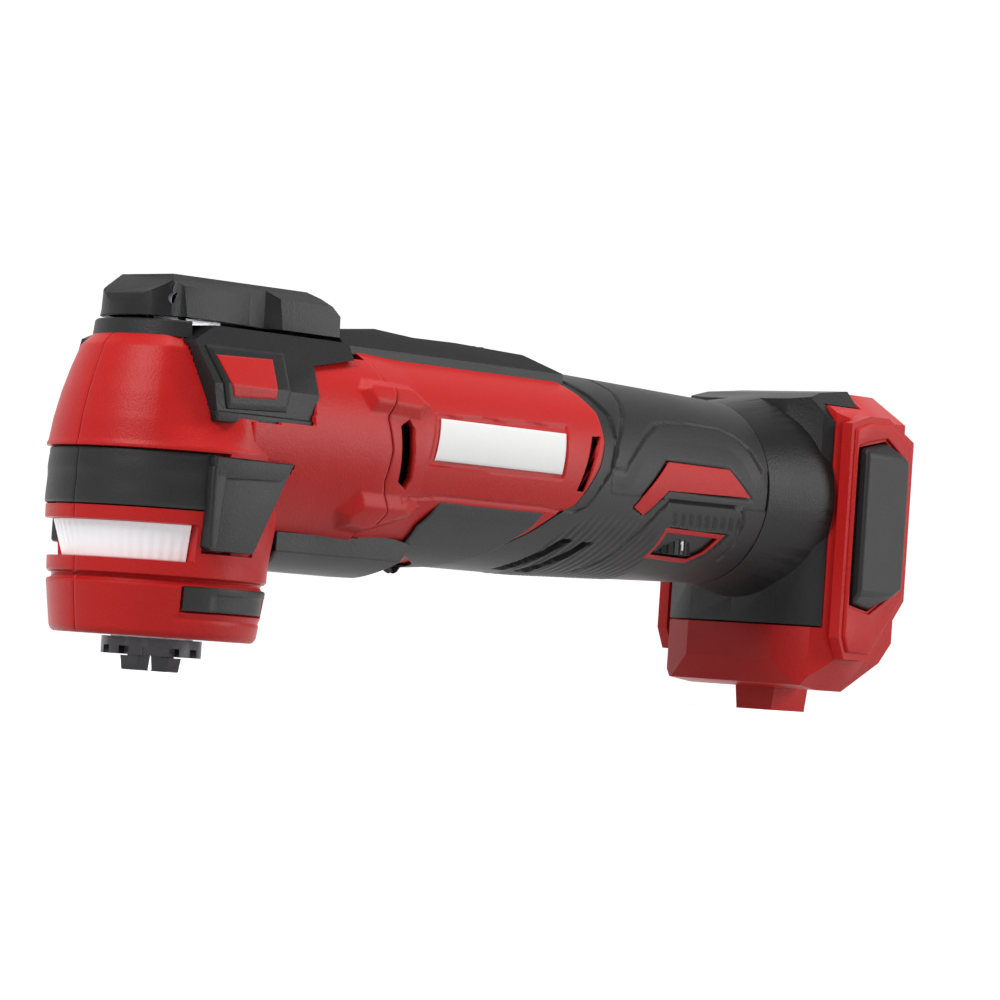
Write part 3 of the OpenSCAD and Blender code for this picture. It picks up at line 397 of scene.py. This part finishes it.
name_white = moulded("name_white", (0.80, 0.80, 0.79), 0.5, 600, 0.05, 0.02)
for side, hand in SIDES:
    shell = barrel_skin("motor_shell_" + hand, side, seam(0.4), split(-0.2), -90, 90,
                        lambda x: MOTOR_R + 0 * x, motor_relief, [red_nylon], step=0.5, wall=2.2)
    cut_through(shell, (FRONT_VENT, REAR_VENT), side)
    # A near-black plate behind each vent stands in for the shade inside the housing: painted shade.
    for vent, outline in (("front", FRONT_VENT), ("rear", REAR_VENT)):
        low, high = min(z for x, z in outline) - 1.5, max(z for x, z in outline) + 1.5
        first, last = min(x for x, z in outline) - 1.5, max(x for x, z in outline) + 1.5
        shade_plate_outline = [(first, AXIS + low), (last, AXIS + low), (last, AXIS + high), (first, AXIS + high)]
        shade = prism("vent_painted_shade_" + vent + "_" + hand, shade_plate_outline, side * 22.6, side * 23.2, 0.1, painted_shade_black)
        finish_piece(shade, "housing", "black_shell")
    finish_piece(shell, "housing", "red_shell", "motor_housing_" + hand)
    low, high = PLATE[2][1] + 1.3, PLATE[1][1] - 2.4
    from_deg, to_deg = (math.degrees(math.asin(h / MOTOR_R)) for h in (low, high))
    plate = barrel_skin("name_bar_" + hand, side, lambda h: 69 + 0.28 * (h + 2),
                        lambda h: 118 + 0.22 * (h + 2), from_deg, to_deg, lambda x: MOTOR_R + 0.1 + 0 * x,
                        lambda x, z: 0 * x, [name_white], wall=0.5, edge=0.3)
    finish_piece(plate, "housing", "white_mark", "name_plate_" + hand)

# ---- soft pads on the belly and under the neck ----
# Black thermoplastic rubber, moulded onto the red shells where the hand closes round them.
black_rubber = moulded("black_rubber", (0.0062, 0.0062, 0.0070), 0.46, 1800, 0.40)
BELLY_START = ((-27.5, 84), (-24.3, 70.5), (-18.1, 69.8), (-11.9, 74.6))
BELLY_END = ((-28.4, 84), (-27.5, 92), (-23, 103.5), (-16, 111.6), (-11.9, 115.2))
belly_parts = []
for side, hand in SIDES:
    belly_parts.append(barrel_skin(
        "belly_" + hand, side, lambda h: np.interp(h, *zip(*BELLY_START)),
        lambda h: np.interp(h, *zip(*BELLY_END)), -90, -24.6, lambda x: MOTOR_R + 0 * x,
        lambda x, z: 0.95 - 0.72 * np.clip((z + 15.2) / 2.6, 0, 1), [black_rubber], wall=1.6, edge=0.6))
finish_piece(merged("belly_grip", belly_parts), "housing", "black_rubber", "belly_pad")
finish_piece(dressed("neck_grip", "neck_pad", 0.5, black_rubber), "housing", "black_rubber", "neck_pad")

# ---- head band ----
# The soft bumper round the nose. Its ends carry a flat wing on each cheek with a sunk, grained face
# below a smooth lip.
BAND_R = 29.9
WING_Y = 30.2
wing_outline = [(-9, BAND_HIGH - 0.8), (-9, HEAD_FOOT + 7.4), (6, HEAD_FOOT + 7.4), (18, BAND_HIGH - 0.8)]
lip_outline = [(-10, BAND_HIGH - 0.8), (-9.4, BAND_HIGH - 6.2), (13.6, BAND_HIGH - 5.4),
               (17.4, BAND_HIGH - 0.8)]
step_outline = [(-10.4, BAND_HIGH - 3), (-10.4, HEAD_FOOT + 7.8), (-7.6, HEAD_FOOT + 7.8),
                (-5.2, BAND_HIGH - 3)]
for side, hand in SIDES:
    turn, turn_sink = run_of(math.radians(74) * BAND_R, 0.7, 0.4)
    rise, rise_sink = run_of(BAND_HIGH - BAND_LOW, 0.6, 0.7)
    phi = turn / BAND_R
    tuck = 0.45 * np.clip((rise - 9.5) / 3.5, 0, 1) + 0.25 * np.exp(-((rise - 7) / 3) ** 2)
    r = BAND_R - 0.3 - tuck[:, None] - np.maximum(rise_sink[:, None], turn_sink[None, :])
    z = np.repeat((BAND_LOW + 0.15 + rise * 0.98)[:, None], len(phi), 1)
    hoop = turned_skin("hoop_" + hand, r, phi, side, z, black_rubber, 1.8)
    face = prism("wing_face_" + hand, wing_outline, side * 26.6, side * (WING_Y - 1.1), 0.4, black_rubber)
    lip = prism("wing_lip_" + hand, lip_outline, side * 26.8, side * WING_Y, 0.5, black_rubber)
    step = prism("wing_step_" + hand, step_outline, side * 26.2, side * WING_Y, 0.9, black_rubber)
    finish_piece(merged("head_bumper_" + hand, [hoop, face, lip, step]), "housing", "black_rubber",
                 "head_band_" + hand)

# ---- lamp ----
# A frosted polycarbonate lens bent round the nose over the row of lamps, with a painted glow that brightens
# its white.
lens_white_painted_glow = moulded("lens_white_painted_glow", (0.72, 0.73, 0.745), 0.25, 300, 0.03, 0.02)
# The emission is a painted glow on the white plastic.
lens_white_painted_glow.node_tree.nodes["Principled BSDF"].inputs["Emission Color"].default_value = (0.95, 0.97, 1.0, 1)
lens_white_painted_glow.node_tree.nodes["Principled BSDF"].inputs["Emission Strength"].default_value = 0.32
turn, turn_sink = run_of(math.radians(2 * 65) * 26, 0.6, 0.3)
rise, rise_sink = run_of(LENS_HIGH - LENS_LOW - 0.2, 0.5, 0.3)
phi = turn / 26 - math.radians(65)
fan = 0.12 * np.cos(phi * 60)
r = 24.1 + 2.8 * (rise / rise[-1])[:, None] + fan[None, :]
r = r - np.maximum(rise_sink[:, None], turn_sink[None, :])
z = np.repeat((LENS_LOW + 0.1 + rise)[:, None], len(phi), 1)
lens = turned_skin("lamp_glass", r, phi, 1, z, lens_white_painted_glow, 1.2)
finish_piece(lens, "housing", "lens", "lamp_lens")

# ---- collar ----
# The lower ring in two red halves, held up by four screws, with a soft insert on each side.
INSERT_FROM, INSERT_TO = 62, 140
COLLAR_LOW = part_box("collar_left")[0].z / MM
for side, hand in SIDES:
    turn, turn_sink = run_of(math.pi * 28, 0.7, 0.4)
    rise, rise_sink = run_of(COLLAR_TOP - COLLAR_LOW, 0.5, 0.6)
    phi = turn / 28
    deg = np.degrees(phi)
    base = np.interp(rise, [0, 1.4, 13.5], [25.6, 26.4, 28.0])
    sunk = (deg[None, :] > INSERT_FROM) & (deg[None, :] < INSERT_TO) & (rise[:, None] > 6.8)
    r = base[:, None] - np.maximum(rise_sink[:, None], turn_sink[None, :]) - np.where(sunk, 1.6, 0)
    r = r - 0.35 * np.exp(-((rise[:, None] - 5.2) / 0.5) ** 2) * (deg[None, :] > INSERT_FROM - 3)
    z = np.repeat((COLLAR_LOW + rise)[:, None], len(phi), 1)
    flat_r = np.array([15.0, 20.0, 25.2])
    ring = turned_skin("collar_wall_" + hand, r, phi, side, z, red_nylon, 2.0)
    floor_r = np.repeat(flat_r[:, None], len(phi), 1)
    floor_z = np.full(floor_r.shape, COLLAR_LOW + 0.05)
    floor = turned_skin("collar_floor_" + hand, floor_r, phi, side, floor_z, red_nylon, 2.0)
    finish_piece(merged("collar_ring_" + hand, [ring, floor]), "housing", "red_shell", "collar_" + hand)
    span = math.radians(INSERT_TO - INSERT_FROM - 1)
    turn, turn_sink = run_of(span * 28, 0.6, 0.4)
    phi = turn / 28 + math.radians(INSERT_FROM + 0.5)
    rise, rise_sink = run_of(6.3, 0.45, 0.4)
    step_down = 0.5 * np.clip((np.degrees(phi) - 78) / 4, 0, 1)
    r = 27.95 - step_down[None, :] * (rise[:, None] < 4.6) - 0.09 * (6.5 - rise[:, None])
    r = r - np.maximum(rise_sink[:, None], turn_sink[None, :])
    z = np.repeat((COLLAR_LOW + 7.0 + rise)[:, None], len(phi), 1)
    soft = turned_skin("collar_soft_" + hand, r, phi, side, z, black_rubber, 1.2)
    finish_piece(soft, "housing", "black_rubber", "collar_insert_" + hand)

# ---- seal between collar and head ----
# A red nylon ring with a rolled edge that closes the gap over the collar, pinched by its screws.
phi = np.linspace(0, math.pi, 61)
for side, hand in SIDES:
    rise = np.linspace(-0.4, HEAD_FOOT - COLLAR_TOP + 0.4, 7)
    r = 26.9 - 0.35 * np.cos(np.linspace(-math.pi, math.pi, 7))[:, None] + 0 * phi[None, :]
    z = np.repeat((COLLAR_TOP + rise)[:, None], len(phi), 1)
    ring = turned_skin("seal_ring_" + hand, r, phi, side, z, red_nylon, 1.6)
    finish_piece(ring, "housing", "red_shell")

# ---- top cover, badges and switch panel ----
# Black nylon covers over the top of the head and barrel; the badge is a red inlay with no print.
black_nylon = moulded("black_nylon", (0.0072, 0.0072, 0.0080), 0.40, 1700, 0.36, shine=0.21)
finish_piece(dressed("head_cover", "top_cover", 0.7, black_nylon), "housing", "black_rubber", "top_cover")
phi = np.linspace(-math.radians(61), math.radians(61), 61)
rest_line = ((18.3, 84.2), (18.3, 88.2), (18.6, 88.4), (19.7, 88.4), (20.1, 88.0), (20.5, 84.2))
rest_r, rest_z = (np.array(c)[:, None] + 0 * phi[None, :] for c in zip(*rest_line))
rest_points = np.stack([-rest_r * np.cos(phi), rest_r * np.sin(phi), rest_z], -1).reshape(-1, 3)
rest = make("lever_rest", rest_points, grid_faces(*rest_r.shape, False), [black_rubber])
finish_piece(rest, "housing", "black_rubber")
for side, hand in SIDES:
    skirt = prism("cover_skirt_" + hand, [(-8.3, 63.4), (25.4, 63.8), (25.8, 66.2), (-9.0, 66.2)],
                  side * 25, side * 27.9, 0.45, black_nylon)
    finish_piece(skirt, "housing", "black_rubber")
BADGE = ((-3.6, 69.9), (10.8, 70.5), (12.8, 80.9), (-7.0, 80.3))
BEZEL = ((-5.4, 66.6), (15.4, 67.4), (18.4, 83.4), (-9.6, 83.0))


def cover_patch(name, side, corners, lift, edge, material, bulge=0.0):
    """A four-cornered plate that follows the slope of the cover's side."""
    (ax, az), (bx, bz), (cx, cz), (dx, dz) = corners
    across, across_sink = run_of(22.0, 0.5, edge)
    up, up_sink = run_of(13.0, 0.5, edge)
    u, v = across[None, :] / 22.0, up[:, None] / 13.0
    x = (1 - v) * ((1 - u) * ax + u * bx) + v * ((1 - u) * dx + u * cx)
    z = (1 - v) * ((1 - u) * az + u * bz) + v * ((1 - u) * dz + u * cz)
    sink = np.maximum(across_sink[None, :], up_sink[:, None])
    crown = bulge * np.sin(math.pi * u) * np.sin(math.pi * v)
    y = 27.4 - 0.56 * np.maximum(z - 73, 0) + lift - sink + crown
    points = np.stack([x, side * y, z], -1).reshape(-1, 3)
    return make(name, points, grid_faces(*x.shape, side > 0), [material], None, 1.4)


for side, hand in SIDES:
    bezel = cover_patch("badge_bezel_" + hand, side, BEZEL, 0.75, 1.1, black_nylon)
    finish_piece(bezel, "housing", "black_rubber")
    inlay = cover_patch("badge_inlay_" + hand, side, BADGE, 1.0, 0.35, red_nylon, 0.15)
    finish_piece(inlay, "housing", "red_shell", "badge_" + hand)
switch_cover = dressed("switch_cover", "switch_panel", 0.6, black_nylon)
finish_piece(switch_cover, "housing", "black_shell", "switch_panel")
switch_rim = dressed("switch_rim", "switch_liner", 0.25, red_nylon)
finish_piece(switch_rim, "housing", "red_shell", "switch_liner")
switch_button = dressed("switch_button", "switch_slider", 0.3, black_nylon)
finish_piece(switch_button, "switch", "black_shell", "switch_slider")

# ---- grip ----
# Rubber over nylon, raised where the palm presses. Fine ribs run round the speed wheel's window and
# cooling slots are cut low on the left; their sunk faces are coloured near-black as painted shade.
STRIPE = [(149.4, -8.0), (162.4, 5.9), (189.6, 5.9), (200.2, -2.3), (163.8, -2.1), (154.8, -9.9)]
WINDOW = [(167.8, -12.4), (194.0, -12.6), (190.6, -18.2), (186.2, -21.4), (166.2, -21.2)]
CONTOUR = [(145, -26), (149.5, -23.3), (154.6, -16), (160.7, -8.2), (164.5, -4.9), (192.6, -4.8),
           (196.8, -6.2), (198.4, -9), (198.2, -14), (196.5, -20)]
PALM = [(149.0, 27), (150.7, 23.3), (149.3, 20), (145.6, 14.9), (141.6, 9.2), (139.4, 3.6), (138.9, 1.8),
        (144, 1.6), (146.1, 4.4), (150, 8.4), (154.7, 12.5), (160.5, 15.7), (167, 16.9), (178.4, 17),
        (190.4, 16.7), (195.8, 15), (199.9, 12), (204, 6)]
SLOTS = ([(127.2, -18.4), (131.2, -18.4), (120.0, -27.6), (115.4, -27.6)],
         [(136.0, -18.6), (140.0, -18.6), (129.0, -27.6), (124.4, -27.6)])
GRIP_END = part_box("grip_left")[1].x / MM


def grip_r(x):
    return np.interp(x, [130, GRIP_END], [28.5, 26.2])


def grip_relief_for(left):
    def relief(x, z):
        rim = np.interp(z, *zip(*SPLIT))
        beyond = x - rim
        flow = -0.5 * np.clip(1 - np.clip((beyond - 4.4) / 0.8, 0, 1), 0, 1) * (z > -11)
        flow = flow - 0.45 * np.exp(-((beyond - 5.0) / 0.45) ** 2) * (z > -2)
        palm = within(x, z, PALM[6:] + [(210, 6), (210, -30), (140, -30)])
        flow = flow + groove(x, z, PALM, 1.1, 0.45)
        flow = flow - 0.45 * np.clip(near(x, z, PALM[7:]) / 5, 0, 1) * palm * (z > -5)
        flow = flow + 0.4 * raised(x, z, STRIPE, -1.6, 0.3)
        flow = flow + groove(x, z, STRIPE, 0.9, 0.35, True)
        flow = flow + groove(x, z, CONTOUR, 1.0, 0.5)
        ribs = (z < -9.5) & (x > 122) & (x < 166 + (z + 21) * -0.2) & (beyond > 12)
        lean = x - 0.55 * (z + 20)
        wave = 0.16 * np.cos(lean * 2 * math.pi / 3.1) * np.clip((-9.5 - z) / 6, 0, 1)
        flow = flow + np.where(ribs, wave, 0)
        flow = flow + raised(x, z, WINDOW, -0.9, 0.3)
        for i in range(9):
            foot = 167.6 + 3.55 * i
            flow = flow + groove(x, z, [(foot, -8.6), (foot + 1.2, -11.2)], 1.5, 0.5)
        if left:
            for slot in SLOTS:
                flow = flow + raised(x, z, slot, -3.6, 0.35)
        return flow
    return relief


def grip_start(height):
    """The grip's front edge, which leaves the switch slider's run free on top."""
    run_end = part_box("switch_slider")[1].x / MM + SLIDER_TRAVEL + 0.6
    return np.where(height > SLIDER_LOW, np.maximum(split(0.25)(height), run_end), split(0.25)(height))


SLIDER_TRAVEL, SLIDER_LOW = 8.2, 27.6
for side, hand in SIDES:
    # On the left, the sunk slot faces take painted shade in place of a deep dark opening.
    painted_shade_outlines = SLOTS if side < 0 else ()
    shell = barrel_skin("grip_shell_" + hand, side, grip_start, level(GRIP_END - 0.1), -90, 90, grip_r,
                        grip_relief_for(side < 0), [black_rubber, painted_shade_black], painted_shade_outlines)
    finish_piece(shell, "housing", "black_rubber", "grip_" + hand)
    stripe = barrel_skin("grip_flash_" + hand, side,
                         lambda h: np.interp(h, [-9.9, -8.0, 5.9], [154.4, 149.8, 162.8]),
                         lambda h: np.interp(h, [-9.9, -2.35, -2.25, 5.9], [154.8, 163.2, 199.4, 189.4]),
                         -20.6, 12.0, grip_r, lambda x, z: -0.12 + 0 * x, [red_nylon], wall=0.5, edge=0.25,
                         step=0.5)
    finish_piece(stripe, "housing", "red_shell", "grip_stripe_" + hand)

# ---- speed wheel and its window ----
# A black wheel with fine ribs, read through a red-edged window low on the left of the grip.
DIAL_FACE = (176.5, -21.62, AXIS - 16.8)
finish_piece(dressed("dial_frame", "dial_window", 0.2, red_nylon), "housing", "red_shell", "dial_window")
finish_piece(dressed("speed_wheel", "speed_dial", 0.25, black_nylon), "dial", "black_shell", "speed_dial")

DIGIT = [(-0.35, -1.3), (0.35, -1.3), (0.35, 1.3), (-0.1, 1.3), (-0.75, 0.7), (-0.75, 0.3), (-0.35, 0.6)]
stroke = prism("wheel_mark", DIGIT, -0.1, 0.12, 0, name_white)
for vertex in stroke.data.vertices:
    vertex.co += Vector(DIAL_FACE) * MM
finish_piece(stroke, "dial", "white_mark")

# ---- foot ----
# Black glass-filled nylon in two halves that spread from the round grip to the battery's seat.
for side, hand in SIDES:
    shell = dressed("foot_shell_" + hand, "foot_" + hand, 1.1, black_nylon)
    finish_piece(shell, "housing", "black_shell", "foot_" + hand)

# ---- battery ----
# A slide-on pack in two red shells with thick side panels, a keel and a release button on each side.
for node, name in (("battery_front", "battery_shoe"), ("battery_rear", "battery_back")):
    finish_piece(dressed(name, node, 0.8, red_nylon), "battery", "red_shell", node)
BAY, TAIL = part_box("battery_rear")[0].x / MM - 16.6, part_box("battery_rear")[1].x / MM
FRAME_OUT = [(BAY + 1.8, 82.0), (BAY + 8.2, 84.2), (TAIL - 12.4, 84.2), (TAIL - 1.8, 79.0),
             (TAIL - 1.8, 34.8), (TAIL - 14.8, 18.0), (BAY + 3.8, 18.0), (BAY + 1.8, 22.6)]
FRAME_IN = [(BAY + 3.1, 76.9), (BAY + 8.0, 78.6), (TAIL - 13.0, 80.1), (TAIL - 4.6, 74.6),
            (TAIL - 4.6, 36.6), (BAY + 12.2, 29.4), (BAY + 8.0, 30.1), (BAY + 3.1, 31.2)]


def rim(name, outer, inner, near_y, far_y, bevel, material):
    """A flat ring between two outlines, standing up from a panel, with rounded edges."""
    bm = bmesh.new()
    loops = [[bm.verts.new((x * MM, y * MM, z * MM)) for x, z in line]
             for y in (near_y, far_y) for line in (outer, inner)]
    count = len(outer)
    for i in range(count):
        j = (i + 1) % count
        for a, b in ((loops[2], loops[3]), (loops[0], loops[2]), (loops[3], loops[1])):
            bm.faces.new((a[i], a[j], b[j], b[i]))
    bmesh.ops.recalc_face_normals(bm, faces=bm.faces[:])
    edges = [e for e in bm.edges if len(e.link_faces) == 2]
    bmesh.ops.bevel(bm, geom=edges, offset=bevel * MM, segments=3, profile=0.5, affect="EDGES",
                    clamp_overlap=True)
    mesh = bpy.data.meshes.new(name)
    bm.to_mesh(mesh)
    bm.free()
    mesh.materials.append(material)
    mesh.polygons.foreach_set("use_smooth", np.ones(len(mesh.polygons), bool))
    mesh.set_sharp_from_angle(angle=math.radians(35))
    piece = bpy.data.objects.new(name, mesh)
    bpy.context.scene.collection.objects.link(piece)
    return piece


for side, hand in SIDES:
    finish_piece(rim("panel_rim_" + hand, FRAME_OUT, FRAME_IN, side * 34.3, side * 35.5, 0.5, red_nylon),
                 "battery", "red_shell")
    pad = dressed("release_pad_" + hand, "release_button_" + hand, 1.0, black_rubber)
    finish_piece(pad, "button_" + hand, "black_shell", "release_button_" + hand)

# ---- clamp lever ----
# The quick-release lever: black nylon with a faceted back, pinned at the nose.
lever = dressed("lever_body", "clamp_lever", 0.9, black_nylon)
lever_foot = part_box("clamp_lever")[0].z / MM
for vertex in lever.data.vertices:
    x, y, z = (c / MM for c in vertex.co)
    limit = 19.1 - 1.1 * max(0, z - lever_foot - 6.4)
    if x < -2 and math.hypot(x, y) > limit:
        vertex.co.xy *= limit / math.hypot(x, y)
finish_piece(lever, "lever", "black_shell", "clamp_lever")

# ---- metal parts ----
# Ground, blackened and cast metal of the spindle, clamp, bearings, motor and gear case.


def metal(name, colour, rough, streak):
    """Machined metal with fine turning marks and an uneven polish."""
    material = moulded(name, colour, rough, streak, 0.12, 0.10)
    material.node_tree.nodes["Principled BSDF"].inputs["Metallic"].default_value = 1.0
    return material


steel = metal("ground_steel", (0.56, 0.56, 0.58), 0.30, 1400)
black_steel = metal("black_oxide_steel", (0.045, 0.045, 0.048), 0.36, 1200)
cast = metal("cast_alloy", (0.60, 0.61, 0.63), 0.48, 500)
copper = metal("lacquered_copper", (0.72, 0.30, 0.13), 0.34, 1500)
board_green = moulded("board_green", (0.012, 0.09, 0.035), 0.35, 700, 0.1)
cell_film = moulded("cell_film", (0.03, 0.16, 0.32), 0.3, 500, 0.05)
kept = {
    steel: ("spindle", "swing_fork", "clamp_rod", "clamp_spring", "spindle_bearings", "motor_bearings",
            "eccentric_bearing", "motor_shaft", "lever_bracket", "lever_cam", "housing_screws",
            "collar_screws"),
    black_steel: ("clamp_jaw_left", "clamp_jaw_right", "rotor"),
    cast: ("gear_case",),
    copper: ("stator",),
    board_green: ("lamp_board", "speed_potentiometer", "control_board"),
    black_nylon: ("motor_bracket", "switch_block", "terminal_block", "cooling_fan"),
    cell_film: ("battery_cells",),
}
for material, names in kept.items():
    for name in names:
        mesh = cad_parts[name].data
        for index in range(len(mesh.materials)):
            mesh.materials[index] = material
finish_piece(dressed("blade_seat", "blade_flange", 0.3, black_steel), "spindle", "dark_steel", "blade_flange")

# ---- studio ----
# A round sweep of pale paper, higher behind the tool, with a soft light from the front left, one on
# the right and one above.
paper = moulded("paper", (0.86, 0.86, 0.86), 0.8, 40, 0.02, 0.01)
paper.node_tree.nodes["Principled BSDF"].inputs["Emission Color"].default_value = (1, 1, 1, 1)
paper.node_tree.nodes["Principled BSDF"].inputs["Emission Strength"].default_value = 0.72
PAPER_R, PAPER_RISE, PAPER_BACK = 3.4, 0.6, 3.6
around = np.radians(np.arange(0, 360, 5))
curve = np.linspace(0.1, math.pi / 2, 10)
profile = [(PAPER_R, 0)]
profile += [(PAPER_R + PAPER_RISE * math.sin(a), PAPER_RISE * (1 - math.cos(a))) for a in curve]
sweep_points = [(u * math.cos(a) / MM, u * math.sin(a) / MM, h / MM) for u, h in profile for a in around]
for a in around:
    top = 1.0 + (PAPER_BACK - 1.0) * (1 + math.cos(a - math.radians(43.7))) / 2
    rim_r = PAPER_R + PAPER_RISE
    sweep_points.append((rim_r * math.cos(a) / MM, rim_r * math.sin(a) / MM, top / MM))
sweep_faces = [tuple(reversed(range(len(around))))]
for i in range(len(profile)):
    row, above = i * len(around), (i + 1) * len(around)
    for j in range(len(around)):
        k = (j + 1) % len(around)
        sweep_faces.append((row + j, row + k, above + k, above + j))
sweep = make("paper_sweep", sweep_points, sweep_faces, [paper], crisp=60)
sweep.visible_diffuse = False


def soft_light(name, place, target, size, power, tint=(1, 1, 1)):
    lamp = bpy.data.lights.new(name, "AREA")
    lamp.shape = "RECTANGLE"
    lamp.size, lamp.size_y = size
    lamp.energy = power
    lamp.color = tint
    holder = bpy.data.objects.new(name, lamp)
    bpy.context.scene.collection.objects.link(holder)
    holder.location = place
    holder.rotation_euler = (Vector(target) - Vector(place)).to_track_quat("-Z", "Y").to_euler()
    return holder


centre = (0.12, 0, 0.05)
soft_light("key_left", (-0.85, -0.15, 0.75), (0.02, 0, 0.05), (0.4, 0.55), 9.5)
soft_light("side_right", (0.75, -0.75, 0.30), (0.22, 0, 0.05), (0.3, 0.7), 5.5)
soft_light("overhead", (0.15, -0.1, 1.1), centre, (1.0, 0.5), 6)
world = bpy.data.worlds.new("studio_air")
world.use_nodes = True
world.node_tree.nodes["Background"].inputs["Color"].default_value = (1, 1, 1, 1)
world.node_tree.nodes["Background"].inputs["Strength"].default_value = 0.34
bpy.context.scene.world = world
bpy.context.scene.view_settings.view_transform = "Standard"

# ---- camera ----
# A long lens low in front of the nose, on the left of the tool.
eye = Vector((-0.8061, -0.8890, 0.0075))
aim = Vector((0.02426, -0.09577, 0.04782))
roll = math.radians(3.94)
camera = bpy.data.cameras.new("camera")
camera.lens = 169.2
camera.sensor_width = 36
camera.clip_start, camera.clip_end = 0.05, 30
holder = bpy.data.objects.new("camera", camera)
bpy.context.scene.collection.objects.link(holder)
holder.location = eye
turned = (aim - eye).to_track_quat("-Z", "Y").to_matrix().to_4x4()
holder.matrix_world = Matrix.Translation(eye) @ turned @ Matrix.Rotation(roll, 4, "Z")
bpy.context.scene.camera = holder
